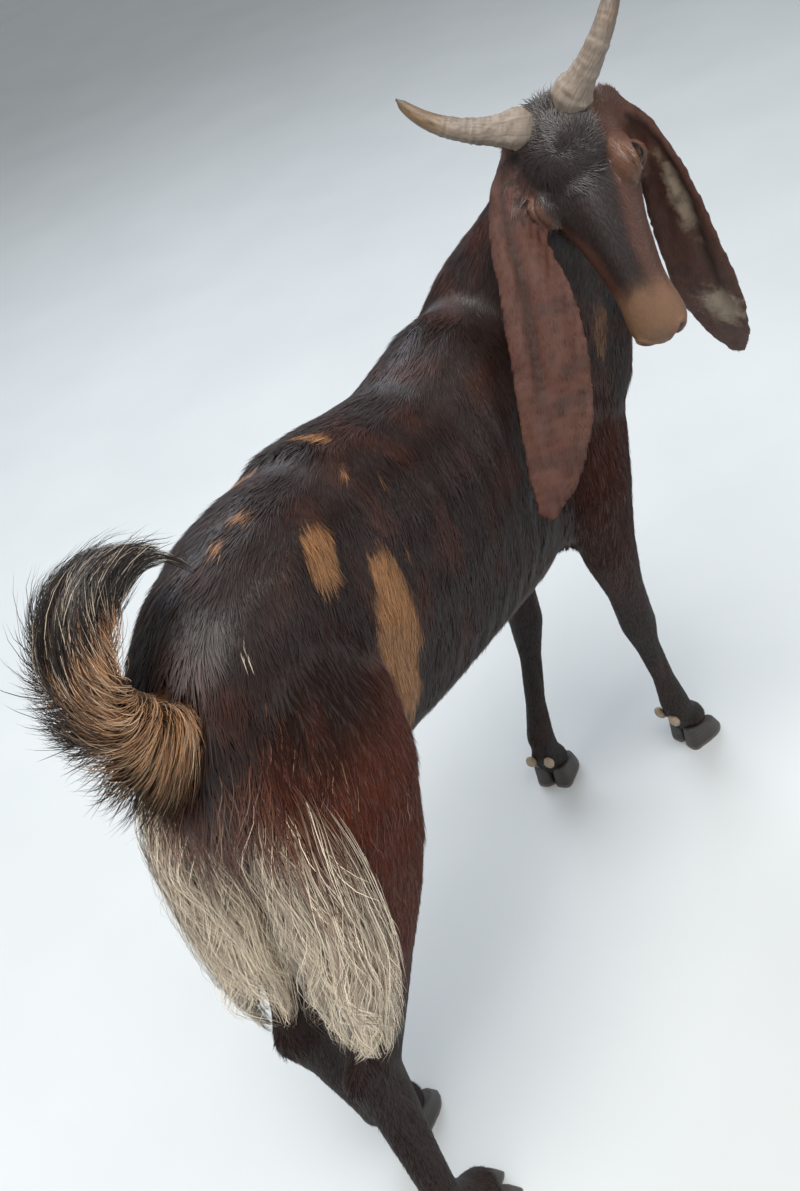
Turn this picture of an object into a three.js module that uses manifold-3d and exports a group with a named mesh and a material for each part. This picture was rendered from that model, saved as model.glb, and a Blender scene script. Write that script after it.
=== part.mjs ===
// A long-eared goat standing and looking back over its right side, life size, as a still model.
// Millimetres. +Z is up, the goat's body faces -Y, and its left side is +X.
// The solids run out to the tips of the coat. The origin is on the floor under the middle of the box.
import * as THREE from "three";
import { mergeVertices } from "three/addons/utils/BufferGeometryUtils.js";
import Module from "manifold-3d";

const wasm = await Module();
wasm.setup();

// ---------------------------------------------------------------- driving dimensions
const GAP = 0.35; // clearance kept between touching solids
const WITHERS = 778; // floor to the top of the shoulders
const CROUP = 804; // floor to the top of the hips
const BODY = 700; // breast to the point of the buttock
const GIRTH_DEPTH = 352; // withers to breastbone
const BARREL = 119; // half the width of the ribs
const HEAD_LENGTH = 256; // poll to lips
const EAR_LENGTH = 385;
const HORN_LENGTH = 124;
const EYE_RADIUS = 14;
const KNEE = 268; // height of the knee
const HOCK = 272; // height of the hock
const FETLOCK = 96; // height of the fetlock
const CORONET = 36; // height of the top of the hoof
const CLAW_LENGTH = 62;

const BREAST = -BODY * 0.53; // the trunk's stations are placed along y
const BUTTOCK = BODY * 0.47;
const STERNUM = WITHERS - GIRTH_DEPTH;

// Where each foot stands: x to the left, y to the rear, turn is how far the toe points outwards and
// step is how far the leg is swung from square.
const feet = {
  fore_left: { x: 72, y: -258, turn: 8, step: 0 },
  fore_right: { x: -94, y: -370, turn: 24, step: 90 },
  hind_left: { x: 34, y: 272, turn: 6, step: 60 },
  hind_right: { x: -96, y: 336, turn: 20, step: 0 },
};

// The head's place and turn: yaw is round the neck, pitch drops the nose, roll tips the crown.
const poll = new THREE.Vector3(-126, -309, 932);
const headTurn = { yaw: -127, pitch: 60, roll: -36 };

// ---------------------------------------------------------------- materials
const finish = (color, roughness) => new THREE.MeshStandardMaterial({ color, roughness, metalness: 0 });
const coat = finish("#2e1f1b", 0.75);
const faceCoat = finish("#5a3a2e", 0.75);
const earCoat = finish("#75483a", 0.75);
const paleHair = finish("#c9b28f", 0.8);
const tanHair = finish("#a2683a", 0.8);
const horn = finish("#8d7663", 0.45);
const hoof = finish("#3a3430", 0.5);
const dewHorn = finish("#b09a7d", 0.55);
const eyeball = finish("#241308", 0.08);

// ---------------------------------------------------------------- helpers
const vec = (x, y, z) => new THREE.Vector3(x, y, z);
const degrees = THREE.MathUtils.degToRad;

// A closed body through oval rings. Each station has its middle `at`, its half width `wide` along the
// side axis, and its reach `over` and `under` that axis. `box` squares a ring, `cup` bends a flat one.
function loft(stations, { side = vec(1, 0, 0), sides = 20, steps = 3, grow = 0 } = {}) {
  const middle = new THREE.CatmullRomCurve3(stations.map((s) => s.at), false, "centripetal");
  const girth = new THREE.CatmullRomCurve3(stations.map((s) => vec(s.wide, s.over, s.under)), false, "catmullrom", 0.4);
  const form = new THREE.CatmullRomCurve3(stations.map((s) => vec(s.box ?? 1, s.cup ?? 0, 0)), false, "catmullrom", 0.4);
  const count = (stations.length - 1) * steps;
  const points = [];
  for (let i = 0; i <= count; i++) {
    const t = i / count;
    const centre = middle.getPoint(t);
    const along = middle.getTangent(t);
    const across = side.clone().addScaledVector(along, -side.dot(along)).normalize();
    const up = across.clone().cross(along);
    const reach = girth.getPoint(t);
    const shape = form.getPoint(t);
    for (let k = 0; k < sides; k++) {
      const angle = (2 * Math.PI * k) / sides;
      const power = 1 / shape.x;
      const c = Math.sign(Math.cos(angle)) * Math.abs(Math.cos(angle)) ** power;
      const s = Math.sign(Math.sin(angle)) * Math.abs(Math.sin(angle)) ** power;
      const high = (s > 0 ? reach.y : reach.z) + grow;
      const bend = shape.y * c * c;
      points.push(centre.clone().addScaledVector(across, c * (reach.x + grow)).addScaledVector(up, s * high + bend));
    }
  }
  const ends = [0, count].map((ring) => {
    const sum = vec(0, 0, 0);
    for (let k = 0; k < sides; k++) sum.add(points[ring * sides + k]);
    const tip = sum.multiplyScalar(1 / sides);
    const t = ring / count;
    const girthHere = girth.getPoint(t);
    const bulge = 0.3 * Math.min(girthHere.x, girthHere.y, girthHere.z) + grow;
    return tip.addScaledVector(middle.getTangent(t), ring ? bulge : -bulge);
  });
  const faces = [];
  for (let i = 0; i < count; i++)
    for (let k = 0; k < sides; k++) {
      const next = (k + 1) % sides;
      const [a, b, c, d] = [i * sides + k, i * sides + next, (i + 1) * sides + next, (i + 1) * sides + k];
      faces.push(a, b, c, a, c, d);
    }
  const first = points.length;
  points.push(...ends);
  for (let k = 0; k < sides; k++) {
    const next = (k + 1) % sides;
    faces.push(first, next, k);
    faces.push(first + 1, count * sides + k, count * sides + next);
  }
  const geometry = new THREE.BufferGeometry().setFromPoints(points);
  geometry.setIndex(faces);
  return geometry;
}

// An egg or ball: a sphere stretched to three half sizes, turned and moved.
function egg(centre, half, { turn = new THREE.Euler(), grow = 0, fine = 14 } = {}) {
  const geometry = new THREE.SphereGeometry(1, fine, Math.round(fine * 0.7));
  geometry.scale(half.x + grow, half.y + grow, half.z + grow);
  geometry.applyMatrix4(new THREE.Matrix4().makeRotationFromEuler(turn).setPosition(centre));
  return geometry;
}

// A geometry as a manifold-3d solid that faces out.
function solid(geometry) {
  const bare = new THREE.BufferGeometry().setAttribute("position", geometry.getAttribute("position"));
  bare.setIndex(geometry.index);
  const merged = mergeVertices(bare, 1e-3);
  const vertProperties = merged.attributes.position.array;
  const triVerts = new Uint32Array(merged.index.array);
  const made = new wasm.Manifold(new wasm.Mesh({ numProp: 3, vertProperties, triVerts }));
  if (made.volume() > 0) return made;
  for (let i = 0; i < triVerts.length; i += 3) [triVerts[i + 1], triVerts[i + 2]] = [triVerts[i + 2], triVerts[i + 1]];
  return new wasm.Manifold(new wasm.Mesh({ numProp: 3, vertProperties, triVerts }));
}

const join = (parts) => parts.reduce((whole, part) => whole.add(part));
const largest = (made) => made.decompose().reduce((a, b) => (a.volume() > b.volume() ? a : b));

// A node: the largest body of a solid, less what it meets.
function node(name, material, made, cutters = []) {
  const cut = largest(cutters.reduce((left, cutter) => left.subtract(cutter), made));
  const mesh = cut.getMesh();
  const geometry = new THREE.BufferGeometry();
  const places = new Float32Array(mesh.numVert * 3);
  for (let i = 0; i < mesh.numVert; i++)
    places.set(mesh.vertProperties.subarray(i * mesh.numProp, i * mesh.numProp + 3), i * 3);
  geometry.setAttribute("position", new THREE.BufferAttribute(places, 3));
  geometry.setIndex(new THREE.BufferAttribute(mesh.triVerts, 1));
  geometry.computeVertexNormals();
  const built = new THREE.Mesh(geometry, material);
  built.name = name;
  return built;
}

const placed = (geometry, matrix) => geometry.clone().applyMatrix4(matrix);

// ---------------------------------------------------------------- trunk and neck
// y runs from the breast at the front to the buttocks at the rear, z is the level of the widest part.
const trunkForm = (grow) =>
  loft(
    [
      { at: vec(-20, BREAST, STERNUM + 160), wide: 30, over: 56, under: 46 },
      { at: vec(-16, BREAST + 34, STERNUM + 156), wide: 64, over: 120, under: 96 },
      { at: vec(-10, BREAST + 98, STERNUM + 150), wide: 90, over: 180, under: 144, box: 1.06 },
      { at: vec(-4, BREAST + 178, STERNUM + 150), wide: 102, over: WITHERS - STERNUM - 152, under: 150, box: 1.08 },
      { at: vec(6, -104, STERNUM + 152), wide: BARREL - 4, over: WITHERS - STERNUM - 176, under: 136, box: 1.1 },
      { at: vec(15, 0, STERNUM + 158), wide: BARREL, over: WITHERS - STERNUM - 162, under: 128, box: 1.12 },
      { at: vec(13, 100, STERNUM + 176), wide: BARREL - 8, over: CROUP - STERNUM - 182, under: 128, box: 1.12 },
      { at: vec(5, BUTTOCK - 148, STERNUM + 212), wide: BARREL - 20, over: CROUP - STERNUM - 212, under: 138, box: 1.18 },
      { at: vec(1, BUTTOCK - 70, STERNUM + 232), wide: BARREL - 35, over: CROUP - STERNUM - 246, under: 138, box: 1.12 },
      { at: vec(0, BUTTOCK - 16, STERNUM + 232), wide: BARREL - 58, over: 88, under: 118 },
      { at: vec(0, BUTTOCK + 10, STERNUM + 228), wide: 38, over: 54, under: 80 },
    ],
    { sides: 17, steps: 2, grow },
  );

// The neck rises from the shoulders and bends round to the right. `across` is its narrow direction.
const neckForm = (grow) =>
  loft(
    [
      { at: vec(-14, -240, 612), wide: 82, over: 108, under: 156 },
      { at: vec(-28, -286, 676), wide: 72, over: 116, under: 158 },
      { at: vec(-52, -314, 742), wide: 57, over: 99, under: 128 },
      { at: vec(-84, -320, 802), wide: 47, over: 70, under: 86 },
      { at: vec(-110, -318, 854), wide: 42, over: 47, under: 58 },
      { at: vec(-122, -322, 884), wide: 38, over: 26, under: 40 },
    ],
    { side: vec(-0.62, 0.76, -0.2), sides: 14, steps: 2, grow },
  );

// ---------------------------------------------------------------- head, in its own frame
// The poll is the origin, the nose points along -Y and the brow is up along +Z.
const head = new THREE.Group();
head.position.copy(poll);
head.rotation.set(degrees(headTurn.pitch), degrees(headTurn.roll), degrees(headTurn.yaw), "ZXY");
head.updateMatrix();

const skull = (grow) => [
  loft(
    [
      { at: vec(0, 2, -66), wide: 24, over: 10, under: 18 },
      { at: vec(0, -14, -50), wide: 45, over: 31, under: 44 },
      { at: vec(0, -44, -38), wide: 57, over: 42, under: 62, box: 1.05 },
      { at: vec(0, -90, -37), wide: 53, over: 44, under: 58, box: 1.05 },
      { at: vec(0, -140, -39), wide: 39, over: 40, under: 43, box: 1.05 },
      { at: vec(0, -190, -43), wide: 31, over: 35, under: 32, box: 1.05 },
      { at: vec(0, -HEAD_LENGTH + 26, -48), wide: 32, over: 30, under: 27, box: 1.1 },
      { at: vec(0, -HEAD_LENGTH + 6, -51), wide: 24, over: 20, under: 19, box: 1.1 },
    ],
    { side: vec(-1, 0, 0), sides: 14, steps: 2, grow },
  ),
  ...[-1, 1].map((s) => egg(vec(s * 46, -82, -20), vec(17, 32, 20), { grow, fine: 8 })),
  ...[-1, 1].map((s) => egg(vec(s * 34, -62, -72), vec(22, 46, 34), { grow, fine: 8 })),
  egg(vec(0, -48, -1), vec(38, 36, 14), { grow, fine: 10 }),
];
const headSolid = (grow) => join(skull(grow).map((g) => solid(placed(g, head.matrix))));

// The ears hang from behind the eyes. `hang` is the line each one takes from its root: the right ear
// is draped back over the neck and the left one falls forwards of it. `side` is along the leaf's width.
const ears = {
  right: {
    root: vec(-50, -14, -38),
    hang: [vec(-4, 50, -42), vec(-43, 110, -126), vec(-60, 154, -200), vec(-62, 197, -262), vec(-57, 230, -304)],
    side: vec(-0.88, -0.44, -0.15),
    cup: 1,
  },
  left: {
    root: vec(50, -12, -36),
    hang: [vec(-27, -10, -40), vec(-37, -24, -118), vec(-40, -44, -196), vec(-41, -70, -264), vec(-40, -104, -328)],
    side: vec(-0.98, 0.16, 0.1),
    cup: -1,
  },
};
function earSolid(name, grow) {
  const { hang, side, cup } = ears[name];
  const root = ears[name].root.clone().applyMatrix4(head.matrix);
  const line = new THREE.CatmullRomCurve3([vec(0, 0, 0), ...hang]);
  const scale = EAR_LENGTH / line.getLength();
  const leaf = [
    { t: 0, wide: 14, thick: 12, fold: 0 },
    { t: 0.11, wide: 16, thick: 8, fold: 4 },
    { t: 0.27, wide: 31, thick: 4.5, fold: 9 },
    { t: 0.48, wide: 41, thick: 4.5, fold: 9 },
    { t: 0.7, wide: 42, thick: 4.5, fold: 7 },
    { t: 0.88, wide: 31, thick: 4.5, fold: 4 },
    { t: 1, wide: 10, thick: 3.5, fold: 0 },
  ];
  const stations = leaf.map(({ t, wide, thick, fold }) => ({
    at: line.getPointAt(t).multiplyScalar(scale).add(root),
    wide,
    over: thick,
    under: thick,
    cup: cup * fold,
    box: 1.25,
  }));
  return solid(loft(stations, { side, sides: 12, steps: 2, grow }));
}

// A horn leaves the poll outwards and a little back, then bends down and back as it thins.
function hornForm(s, grow) {
  const stations = [];
  const lengths = 8;
  const place = vec(s * 34, -8, 6);
  for (let i = 0; i <= lengths; i++) {
    const t = i / lengths;
    const girth = 11.5 * (1 - t) ** 0.6 + 3 + 5 * Math.exp(-t * 12);
    stations.push({ at: place.clone(), wide: girth * 0.86, over: girth, under: girth });
    const lift = degrees(30 - 58 * t);
    const sweep = degrees(20 + 50 * t);
    const step = HORN_LENGTH / lengths;
    place.x += s * step * Math.cos(lift) * Math.cos(sweep);
    place.y += step * Math.sin(sweep);
    place.z += step * Math.sin(lift) * Math.cos(sweep);
  }
  return loft(stations, { side: vec(0, 0, 1), sides: 10, steps: 1, grow });
}
const hornSolid = (s, grow) => solid(placed(hornForm(s, grow), head.matrix));

const eyeSolid = (s, grow) =>
  solid(placed(egg(vec(s * 49, -84, -17), vec(1, 1, 1).multiplyScalar(EYE_RADIUS), { grow, fine: 12 }), head.matrix));

// ---------------------------------------------------------------- legs
// Each leg runs from inside the body down to the coronet; the hoof's claws are separate.
const sideOf = (name) => (name.endsWith("left") ? 1 : -1);

function pastern(foot, fetlock) {
  const turn = degrees(foot.turn) * (foot.x > 0 ? 1 : -1);
  const toe = vec(Math.sin(turn), -Math.cos(turn), 0);
  const top = vec(foot.x, foot.y, CORONET + 6).addScaledVector(toe, -6);
  return [
    { at: fetlock, wide: 21, over: 24, under: 21 },
    { at: fetlock.clone().lerp(top, 0.5).setZ(FETLOCK * 0.66), wide: 19, over: 20, under: 20 },
    { at: top, wide: 26, over: 24, under: 27 },
    { at: top.clone().setZ(CORONET - 8), wide: 25, over: 22, under: 28 },
  ];
}

// Both shoulders carry the same form; `step` is how far the elbow and knee are carried forwards.
function foreleg(name, grow) {
  const s = sideOf(name);
  const foot = feet[name];
  const elbow = vec(s * (62 + foot.step * 0.4), -298 + foot.step * 0.36, 440);
  const fetlock = vec(foot.x - s * 4, foot.y + 16 + foot.step * 0.15, FETLOCK + 4);
  const knee = elbow.clone().lerp(fetlock, 0.5).setZ(KNEE).add(vec(-s * 2 + foot.step * 0.04, -16 + foot.step * 0.19, 0));
  const between = (a, b, t) => a.clone().lerp(b, t);
  const set = s < 0 ? 1 : 0; // the right shoulder stands out, as the neck bends that way
  return loft(
    [
      { at: vec(s * (42 + set * 12), -284, 676), wide: 26 + set * 14, over: 66 + set * 12, under: 66 + set * 12 },
      { at: vec(s * (61 + set * 19), -286 - set * 20, 575), wide: 38 + set * 11, over: 84 + set * 8, under: 86 + set * 6 },
      { at: elbow.clone().add(vec(s * (set * 6 - 10), -5, 68)), wide: 40 + set * 4, over: 72 + set * 4, under: 68 + set * 4 },
      { at: elbow.clone().add(vec(0, 0, -16)), wide: 32, over: 45, under: 45 },
      { at: between(elbow, knee, 0.55), wide: 25, over: 29, under: 29 },
      { at: knee, wide: 25, over: 24, under: 28 },
      { at: between(knee, fetlock, 0.28), wide: 18, over: 20, under: 19 },
      { at: between(knee, fetlock, 0.7), wide: 17, over: 19, under: 17 },
      ...pastern(foot, fetlock),
    ],
    { sides: 12, steps: 1, grow },
  );
}

function hindleg(name, grow) {
  const s = sideOf(name);
  const foot = feet[name];
  const fetlock = vec(foot.x - s * 6, foot.y + 42, FETLOCK);
  const hock = vec(s * 54 - foot.step * 0.24, foot.y * 0.3 + 246, HOCK);
  const between = (a, b, t) => a.clone().lerp(b, t);
  const gaskin = vec(s * 78, 246, 448);
  return loft(
    [
      { at: vec(s * 50, 226, 700), wide: 34, over: 76, under: 70 },
      { at: vec(s * 66, 222, 625), wide: 48, over: 98, under: 90 },
      { at: vec(s * 76, 220, 550), wide: 50, over: 104, under: 62 },
      { at: vec(s * 80, 232, 492), wide: 45, over: 98, under: 42 },
      { at: gaskin, wide: 38, over: 78, under: 32 },
      { at: between(gaskin, hock, 0.4), wide: 30, over: 52, under: 36 },
      { at: between(gaskin, hock, 0.74), wide: 27, over: 42, under: 36 },
      { at: hock.clone().add(vec(0, 4, 0)), wide: 28, over: 42, under: 35 },
      { at: between(hock, fetlock, 0.28), wide: 24, over: 32, under: 27 },
      { at: between(hock, fetlock, 0.66), wide: 21, over: 27, under: 21 },
      ...pastern(foot, fetlock),
    ],
    { sides: 14, steps: 1, grow },
  );
}

// A cloven hoof: two claws with flat soles, and two dew claws behind the pastern.
function clawForm(side, grow) {
  const outline = new THREE.Shape();
  const half = 12.5 + grow;
  const back = 22 + grow;
  const front = CLAW_LENGTH - 22 + grow;
  outline.moveTo(-half, -back * 0.6);
  outline.quadraticCurveTo(-half, -back, 0, -back);
  outline.quadraticCurveTo(half, -back, half, -back * 0.6);
  outline.lineTo(half, front * 0.35);
  outline.quadraticCurveTo(half * 0.9, front * 0.8, -side * 3, front);
  outline.quadraticCurveTo(-half * 0.9, front * 0.8, -half, front * 0.35);
  outline.closePath();
  const geometry = new THREE.ExtrudeGeometry(outline, { depth: 1, bevelEnabled: false, steps: 2, curveSegments: 3 });
  const places = geometry.getAttribute("position");
  for (let i = 0; i < places.count; i++) {
    const rise = places.getZ(i);
    const y = places.getY(i);
    const wall = CORONET + 2 - 12 * Math.max(0, y / front) ** 1.2 + grow;
    const lean = 1 - 0.16 * rise;
    places.setXYZ(i, places.getX(i) * lean, -(y * (1 - 0.3 * rise * (y > 0))), rise * wall - (rise === 0 ? grow : 0));
  }
  return geometry;
}

function footMatrix(name) {
  const foot = feet[name];
  const turn = degrees(foot.turn) * sideOf(name);
  return new THREE.Matrix4().makeRotationZ(turn).setPosition(foot.x, foot.y, 0);
}

function claw(name, side, grow) {
  const spread = new THREE.Matrix4().makeRotationZ(degrees(side * 5)).setPosition(side * 14, 4, 0);
  return solid(placed(clawForm(side, grow), footMatrix(name).multiply(spread))).hull();
}

function dewClaw(name, side, grow) {
  const turn = new THREE.Euler(degrees(-24), 0, degrees(side * 14));
  const bean = egg(vec(side * 13, 40, 68), vec(8, 7, 14), { turn, grow, fine: 6 });
  return solid(placed(bean, footMatrix(name)));
}

// ---------------------------------------------------------------- long hair
// The tail is carried up and curls forward over the rump, with a plume that fans out behind it.
const tailForm = (grow) =>
  loft(
    [
      { at: vec(0, BUTTOCK - 40, 706), wide: 24, over: 20, under: 30 },
      { at: vec(-4, BUTTOCK + 4, 724), wide: 44, over: 34, under: 84 },
      { at: vec(-2, BUTTOCK + 32, 768), wide: 50, over: 44, under: 52 },
      { at: vec(2, BUTTOCK + 26, 812), wide: 52, over: 36, under: 38 },
      { at: vec(4, BUTTOCK - 4, 840), wide: 46, over: 28, under: 28 },
      { at: vec(0, BUTTOCK - 46, 844), wide: 28, over: 15, under: 17 },
      { at: vec(-4, BUTTOCK - 80, 824), wide: 10, over: 7, under: 8 },
    ],
    { sides: 14, steps: 2, grow },
  );

// The breeching: long pale hair that falls from the buttock to the hock.
function breechForm(s, grow) {
  return loft(
    [
      { at: vec(s * 50, BUTTOCK - 42, 640), wide: 30, over: 30, under: 30 },
      { at: vec(s * 58, BUTTOCK - 24, 570), wide: 52, over: 44, under: 60 },
      { at: vec(s * 62, BUTTOCK - 10, 480), wide: 59, over: 42, under: 78 },
      { at: vec(s * 61, BUTTOCK, 400), wide: 54, over: 38, under: 66 },
      { at: vec(s * 57, BUTTOCK + 10, 330), wide: 38, over: 27, under: 38 },
      { at: vec(s * 54, BUTTOCK + 18, 290), wide: 18, over: 14, under: 16 },
    ],
    { sides: 14, steps: 1, grow },
  );
}

// ---------------------------------------------------------------- the goat
const goat = new THREE.Group();
goat.name = "goat";
const legs = { fore: foreleg, hind: hindleg };
const sides = { left: 1, right: -1 };

const grownHead = headSolid(GAP);
const grownNeck = solid(neckForm(GAP));
const grownTail = solid(tailForm(GAP));
const grownLegs = [];

for (const [name, foot] of Object.entries(feet)) {
  const make = legs[name.split("_")[0]];
  const clawsAndDew = [-1, 1].flatMap((side) => [claw(name, side, GAP), dewClaw(name, side, GAP)]);
  goat.add(node(`leg_${name}`, coat, solid(make(name, 0)), clawsAndDew));
  grownLegs.push(solid(make(name, GAP)));
  for (const [label, side] of [["outer", sideOf(name)], ["inner", -sideOf(name)]]) {
    goat.add(node(`claw_${name}_${label}`, hoof, claw(name, side, 0)));
    goat.add(node(`dewclaw_${name}_${label}`, dewHorn, dewClaw(name, side, 0)));
  }
}

const grownEars = Object.keys(sides).map((name) => earSolid(name, GAP));
const grownHorns = Object.values(sides).map((s) => hornSolid(s, GAP));
const grownEyes = Object.values(sides).map((s) => eyeSolid(s, GAP));
goat.add(node("head", faceCoat, headSolid(0), [...grownEyes, ...grownHorns]));
for (const [name, s] of Object.entries(sides)) {
  goat.add(node(`eye_${name}`, eyeball, eyeSolid(s, 0)));
  goat.add(node(`horn_${name}`, horn, hornSolid(s, 0), grownEars));
  goat.add(node(`ear_${name}`, earCoat, earSolid(name, 0), [grownHead, ...grownLegs, ...grownEyes]));
}

goat.add(node("neck", coat, solid(neckForm(0)), [grownHead, ...grownHorns, ...grownEyes, ...grownEars, ...grownLegs]));
goat.add(node("trunk", coat, solid(trunkForm(0)), [grownNeck, grownTail, ...grownLegs, ...grownEars]));
goat.add(node("tail", tanHair, solid(tailForm(0)), grownLegs));
for (const [name, s] of Object.entries(sides))
  goat.add(node(`breech_hair_${name}`, paleHair, solid(breechForm(s, 0)), [solid(trunkForm(GAP)), ...grownLegs, grownTail]));

const box = new THREE.Box3().setFromObject(goat);
goat.position.set(-(box.min.x + box.max.x) / 2, -(box.min.y + box.max.y) / 2, -box.min.z);

export default goat;
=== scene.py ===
"""A long-eared goat, life size, standing and looking back over its right side, as a still model.

Shapes are worked out in millimetres in the goat's own axes: its left is +x, its rear +y, up is +z.
"""

import math

import bmesh
import bpy
import numpy as np
from mathutils import Matrix, Vector
from mathutils.kdtree import KDTree


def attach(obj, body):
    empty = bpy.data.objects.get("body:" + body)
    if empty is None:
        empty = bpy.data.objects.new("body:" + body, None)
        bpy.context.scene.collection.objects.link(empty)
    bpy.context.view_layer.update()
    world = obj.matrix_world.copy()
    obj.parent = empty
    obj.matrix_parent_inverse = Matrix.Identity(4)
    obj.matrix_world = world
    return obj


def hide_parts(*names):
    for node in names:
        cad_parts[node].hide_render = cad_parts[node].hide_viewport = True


bl_info = {
    "name": "Standing Goat",
    "version": (1, 0, 0),
    "blender": (4, 5, 0),
    "location": "3D View > Sidebar > Goat",
    "description": "Dresses a life-size goat with its hide, coat, horns, hooves and eyes",
    "category": "Object",
}

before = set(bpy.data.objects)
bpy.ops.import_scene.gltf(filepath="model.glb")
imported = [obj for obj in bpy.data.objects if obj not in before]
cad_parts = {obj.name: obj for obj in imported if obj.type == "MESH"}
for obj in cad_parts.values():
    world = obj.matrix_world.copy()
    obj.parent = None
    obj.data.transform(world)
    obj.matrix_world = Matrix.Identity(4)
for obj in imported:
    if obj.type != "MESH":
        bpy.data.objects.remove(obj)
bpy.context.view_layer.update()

# ---------------------------------------------------------------- the goat's own places, in mm
ORIGIN = (59.587, 29.765, 0.0)  # mm, from the body's own middle to the frame's
POLL = np.array((-126.0, -309.0, 932.0))  # the top of the head between the horns
HEAD_TURN = {"yaw": -127.0, "pitch": 60.0, "roll": -36.0}
HEAD_LENGTH = 256.0
EYE = np.array((49.0, -84.0, -17.0))  # the left eye, in the head's own axes
EYE_RADIUS = 14.0
LEGS = tuple(f"leg_{end}_{side}" for end in ("fore", "hind") for side in ("left", "right"))
REGIONS = ("trunk", "neck", "head", "ear_left", "ear_right", *LEGS, "dock")
TRUNK, NECK, HEAD, EAR_LEFT, EAR_RIGHT = range(5)
LEG_REGIONS = (5, 6, 7, 8)
HIND_REGIONS = (7, 8)
DOCK = 9
MASKS = ("rust", "brown", "tan", "cream", "black")  # the markings, in the order that they are laid on

# The line that each region of the hide is built or measured round, from root to tip.
LINES = {
    "trunk": ((-16, -371, 596), (-4, -193, 590), (14, 0, 598), (8, 150, 630), (0, 339, 654)),
    "neck": ((-14, -240, 600), (-40, -300, 690), (-60, -318, 754), (-84, -320, 802), (-122, -322, 884)),
    "leg_fore_left": ((58, -284, 655), (62, -298, 440), (64, -292, 268), (68, -242, 100), (72, -258, 30)),
    "leg_fore_right": (
        (-58, -290, 655), (-98, -266, 440), (-88, -300, 268), (-90, -340, 100), (-94, -370, 30)
    ),
    "leg_hind_left": ((52, 226, 700), (78, 246, 448), (42, 330, 272), (30, 312, 96), (34, 272, 30)),
    "leg_hind_right": ((-52, 226, 700), (-78, 246, 448), (-54, 348, 272), (-92, 376, 96), (-96, 336, 30)),
    "dock": ((0, 296, 708), (-3, 326, 728), (-2, 345, 764), (1, 341, 802), (3, 318, 828)),
}

# Each ear's root is in the head's axes. The points that it hangs along are given from that root, and they
# and the way across the ear are in the goat's own axes. Its folds run its length: place across it from -1
# to 1, width, and height in mm.
EARS = {
    "ear_right": {
        "root": (-50, -14, -38),
        "hang": ((-4, 50, -42), (-43, 110, -126), (-60, 154, -200), (-62, 197, -262), (-57, 230, -304)),
        "side": (-0.88, -0.44, -0.15),
        "cup": 1,
        "folds": ((-0.66, 0.24, -5.5), (-0.24, 0.1, 8.5), (0.3, 0.32, -3.5), (0.66, 0.07, 1.6)),
    },
    "ear_left": {
        "root": (50, -26, -38),
        "hang": ((-22, -13, -34), (-31, -28, -106), (-34, -48, -184), (-35, -74, -252), (-34, -108, -316)),
        "side": (-0.98, 0.16, 0.1),
        "cup": -1,
        "folds": ((0.4, 0.14, 7.6), (0.1, 0.16, -2.7), (-0.5, 0.12, 2.0)),
    },
}
EAR_LENGTH = 385.0
# How far along the ear, its half width, half thickness and cupping.
EAR_LEAF = np.array(
    ((0, 6, 7, 0), (0.05, 13, 8.4, 2), (0.12, 17, 6.4, 4), (0.27, 30, 3.5, 9))
    + ((0.48, 40, 3.2, 9), (0.7, 41, 3.2, 7), (0.88, 30, 3.0, 4), (1, 9, 2.4, 0))
)


# ---------------------------------------------------------------- colour and material helpers
def linear(hex_colour):
    """An sRGB hex colour as linear RGB."""
    parts = [int(hex_colour[i : i + 2], 16) / 255 for i in (1, 3, 5)]
    return [p / 12.92 if p <= 0.04045 else ((p + 0.055) / 1.055) ** 2.4 for p in parts]


def node(tree, kind, inputs=None, out=0, **settings):
    """Adds a node and gives one of its outputs. Settings are its own or its inputs' values.

    An input is fed by a socket, a value or the name of a number that is stored on the mesh.
    """
    made = tree.nodes.new("ShaderNode" + kind)
    for name, value in settings.items():
        if hasattr(made, name):
            setattr(made, name, value)
        else:
            made.inputs[name.replace("_", " ")].default_value = value
    for name, value in (inputs or {}).items():
        if isinstance(value, str):
            value = node(tree, "Attribute", out="Fac", attribute_name=value)
        if isinstance(value, bpy.types.NodeSocket):
            tree.links.new(value, made.inputs[name])
        else:
            made.inputs[name].default_value = value
    return made.outputs[out] if made.outputs else None


def blank_material(name):
    """A material whose tree is empty, and that tree."""
    material = bpy.data.materials.new(name)
    material.use_nodes = True
    material.node_tree.nodes.clear()
    return material, material.node_tree


def laid_over(tree, ground, *layers):
    """The colour of a ground under layers, each given by how much of it shows, its colour and its blend."""
    for share, colour, *blend in layers:
        colours = [c if isinstance(c, bpy.types.NodeSocket) else (*c, 1) for c in (ground, colour)]
        inputs = {0: share, 6: colours[0], 7: colours[1]}
        kind = (*blend, "MIX")[0]
        ground = node(tree, "Mix", inputs, 2, data_type="RGBA", blend_type=kind, clamp_factor=True)
    return ground


# ---------------------------------------------------------------- settings
def colour_setting(name, description, hex_colour):
    """A colour that the user may change."""
    colour = {"default": linear(hex_colour), "subtype": "COLOR", "size": 3, "min": 0, "max": 1}
    return bpy.props.FloatVectorProperty(name=name, description=description, **colour)


def length_setting(name, description, millimetres):
    """A length in metres that the user may change."""
    length = {"default": millimetres / 1000, "unit": "LENGTH", "min": 0, "precision": 4}
    return bpy.props.FloatProperty(name=name, description=description, **length)


def count_setting(name, description, count):
    """A number of tufts or locks that the user may change."""
    return bpy.props.IntProperty(name=name, description=description, default=count, min=10)


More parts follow.
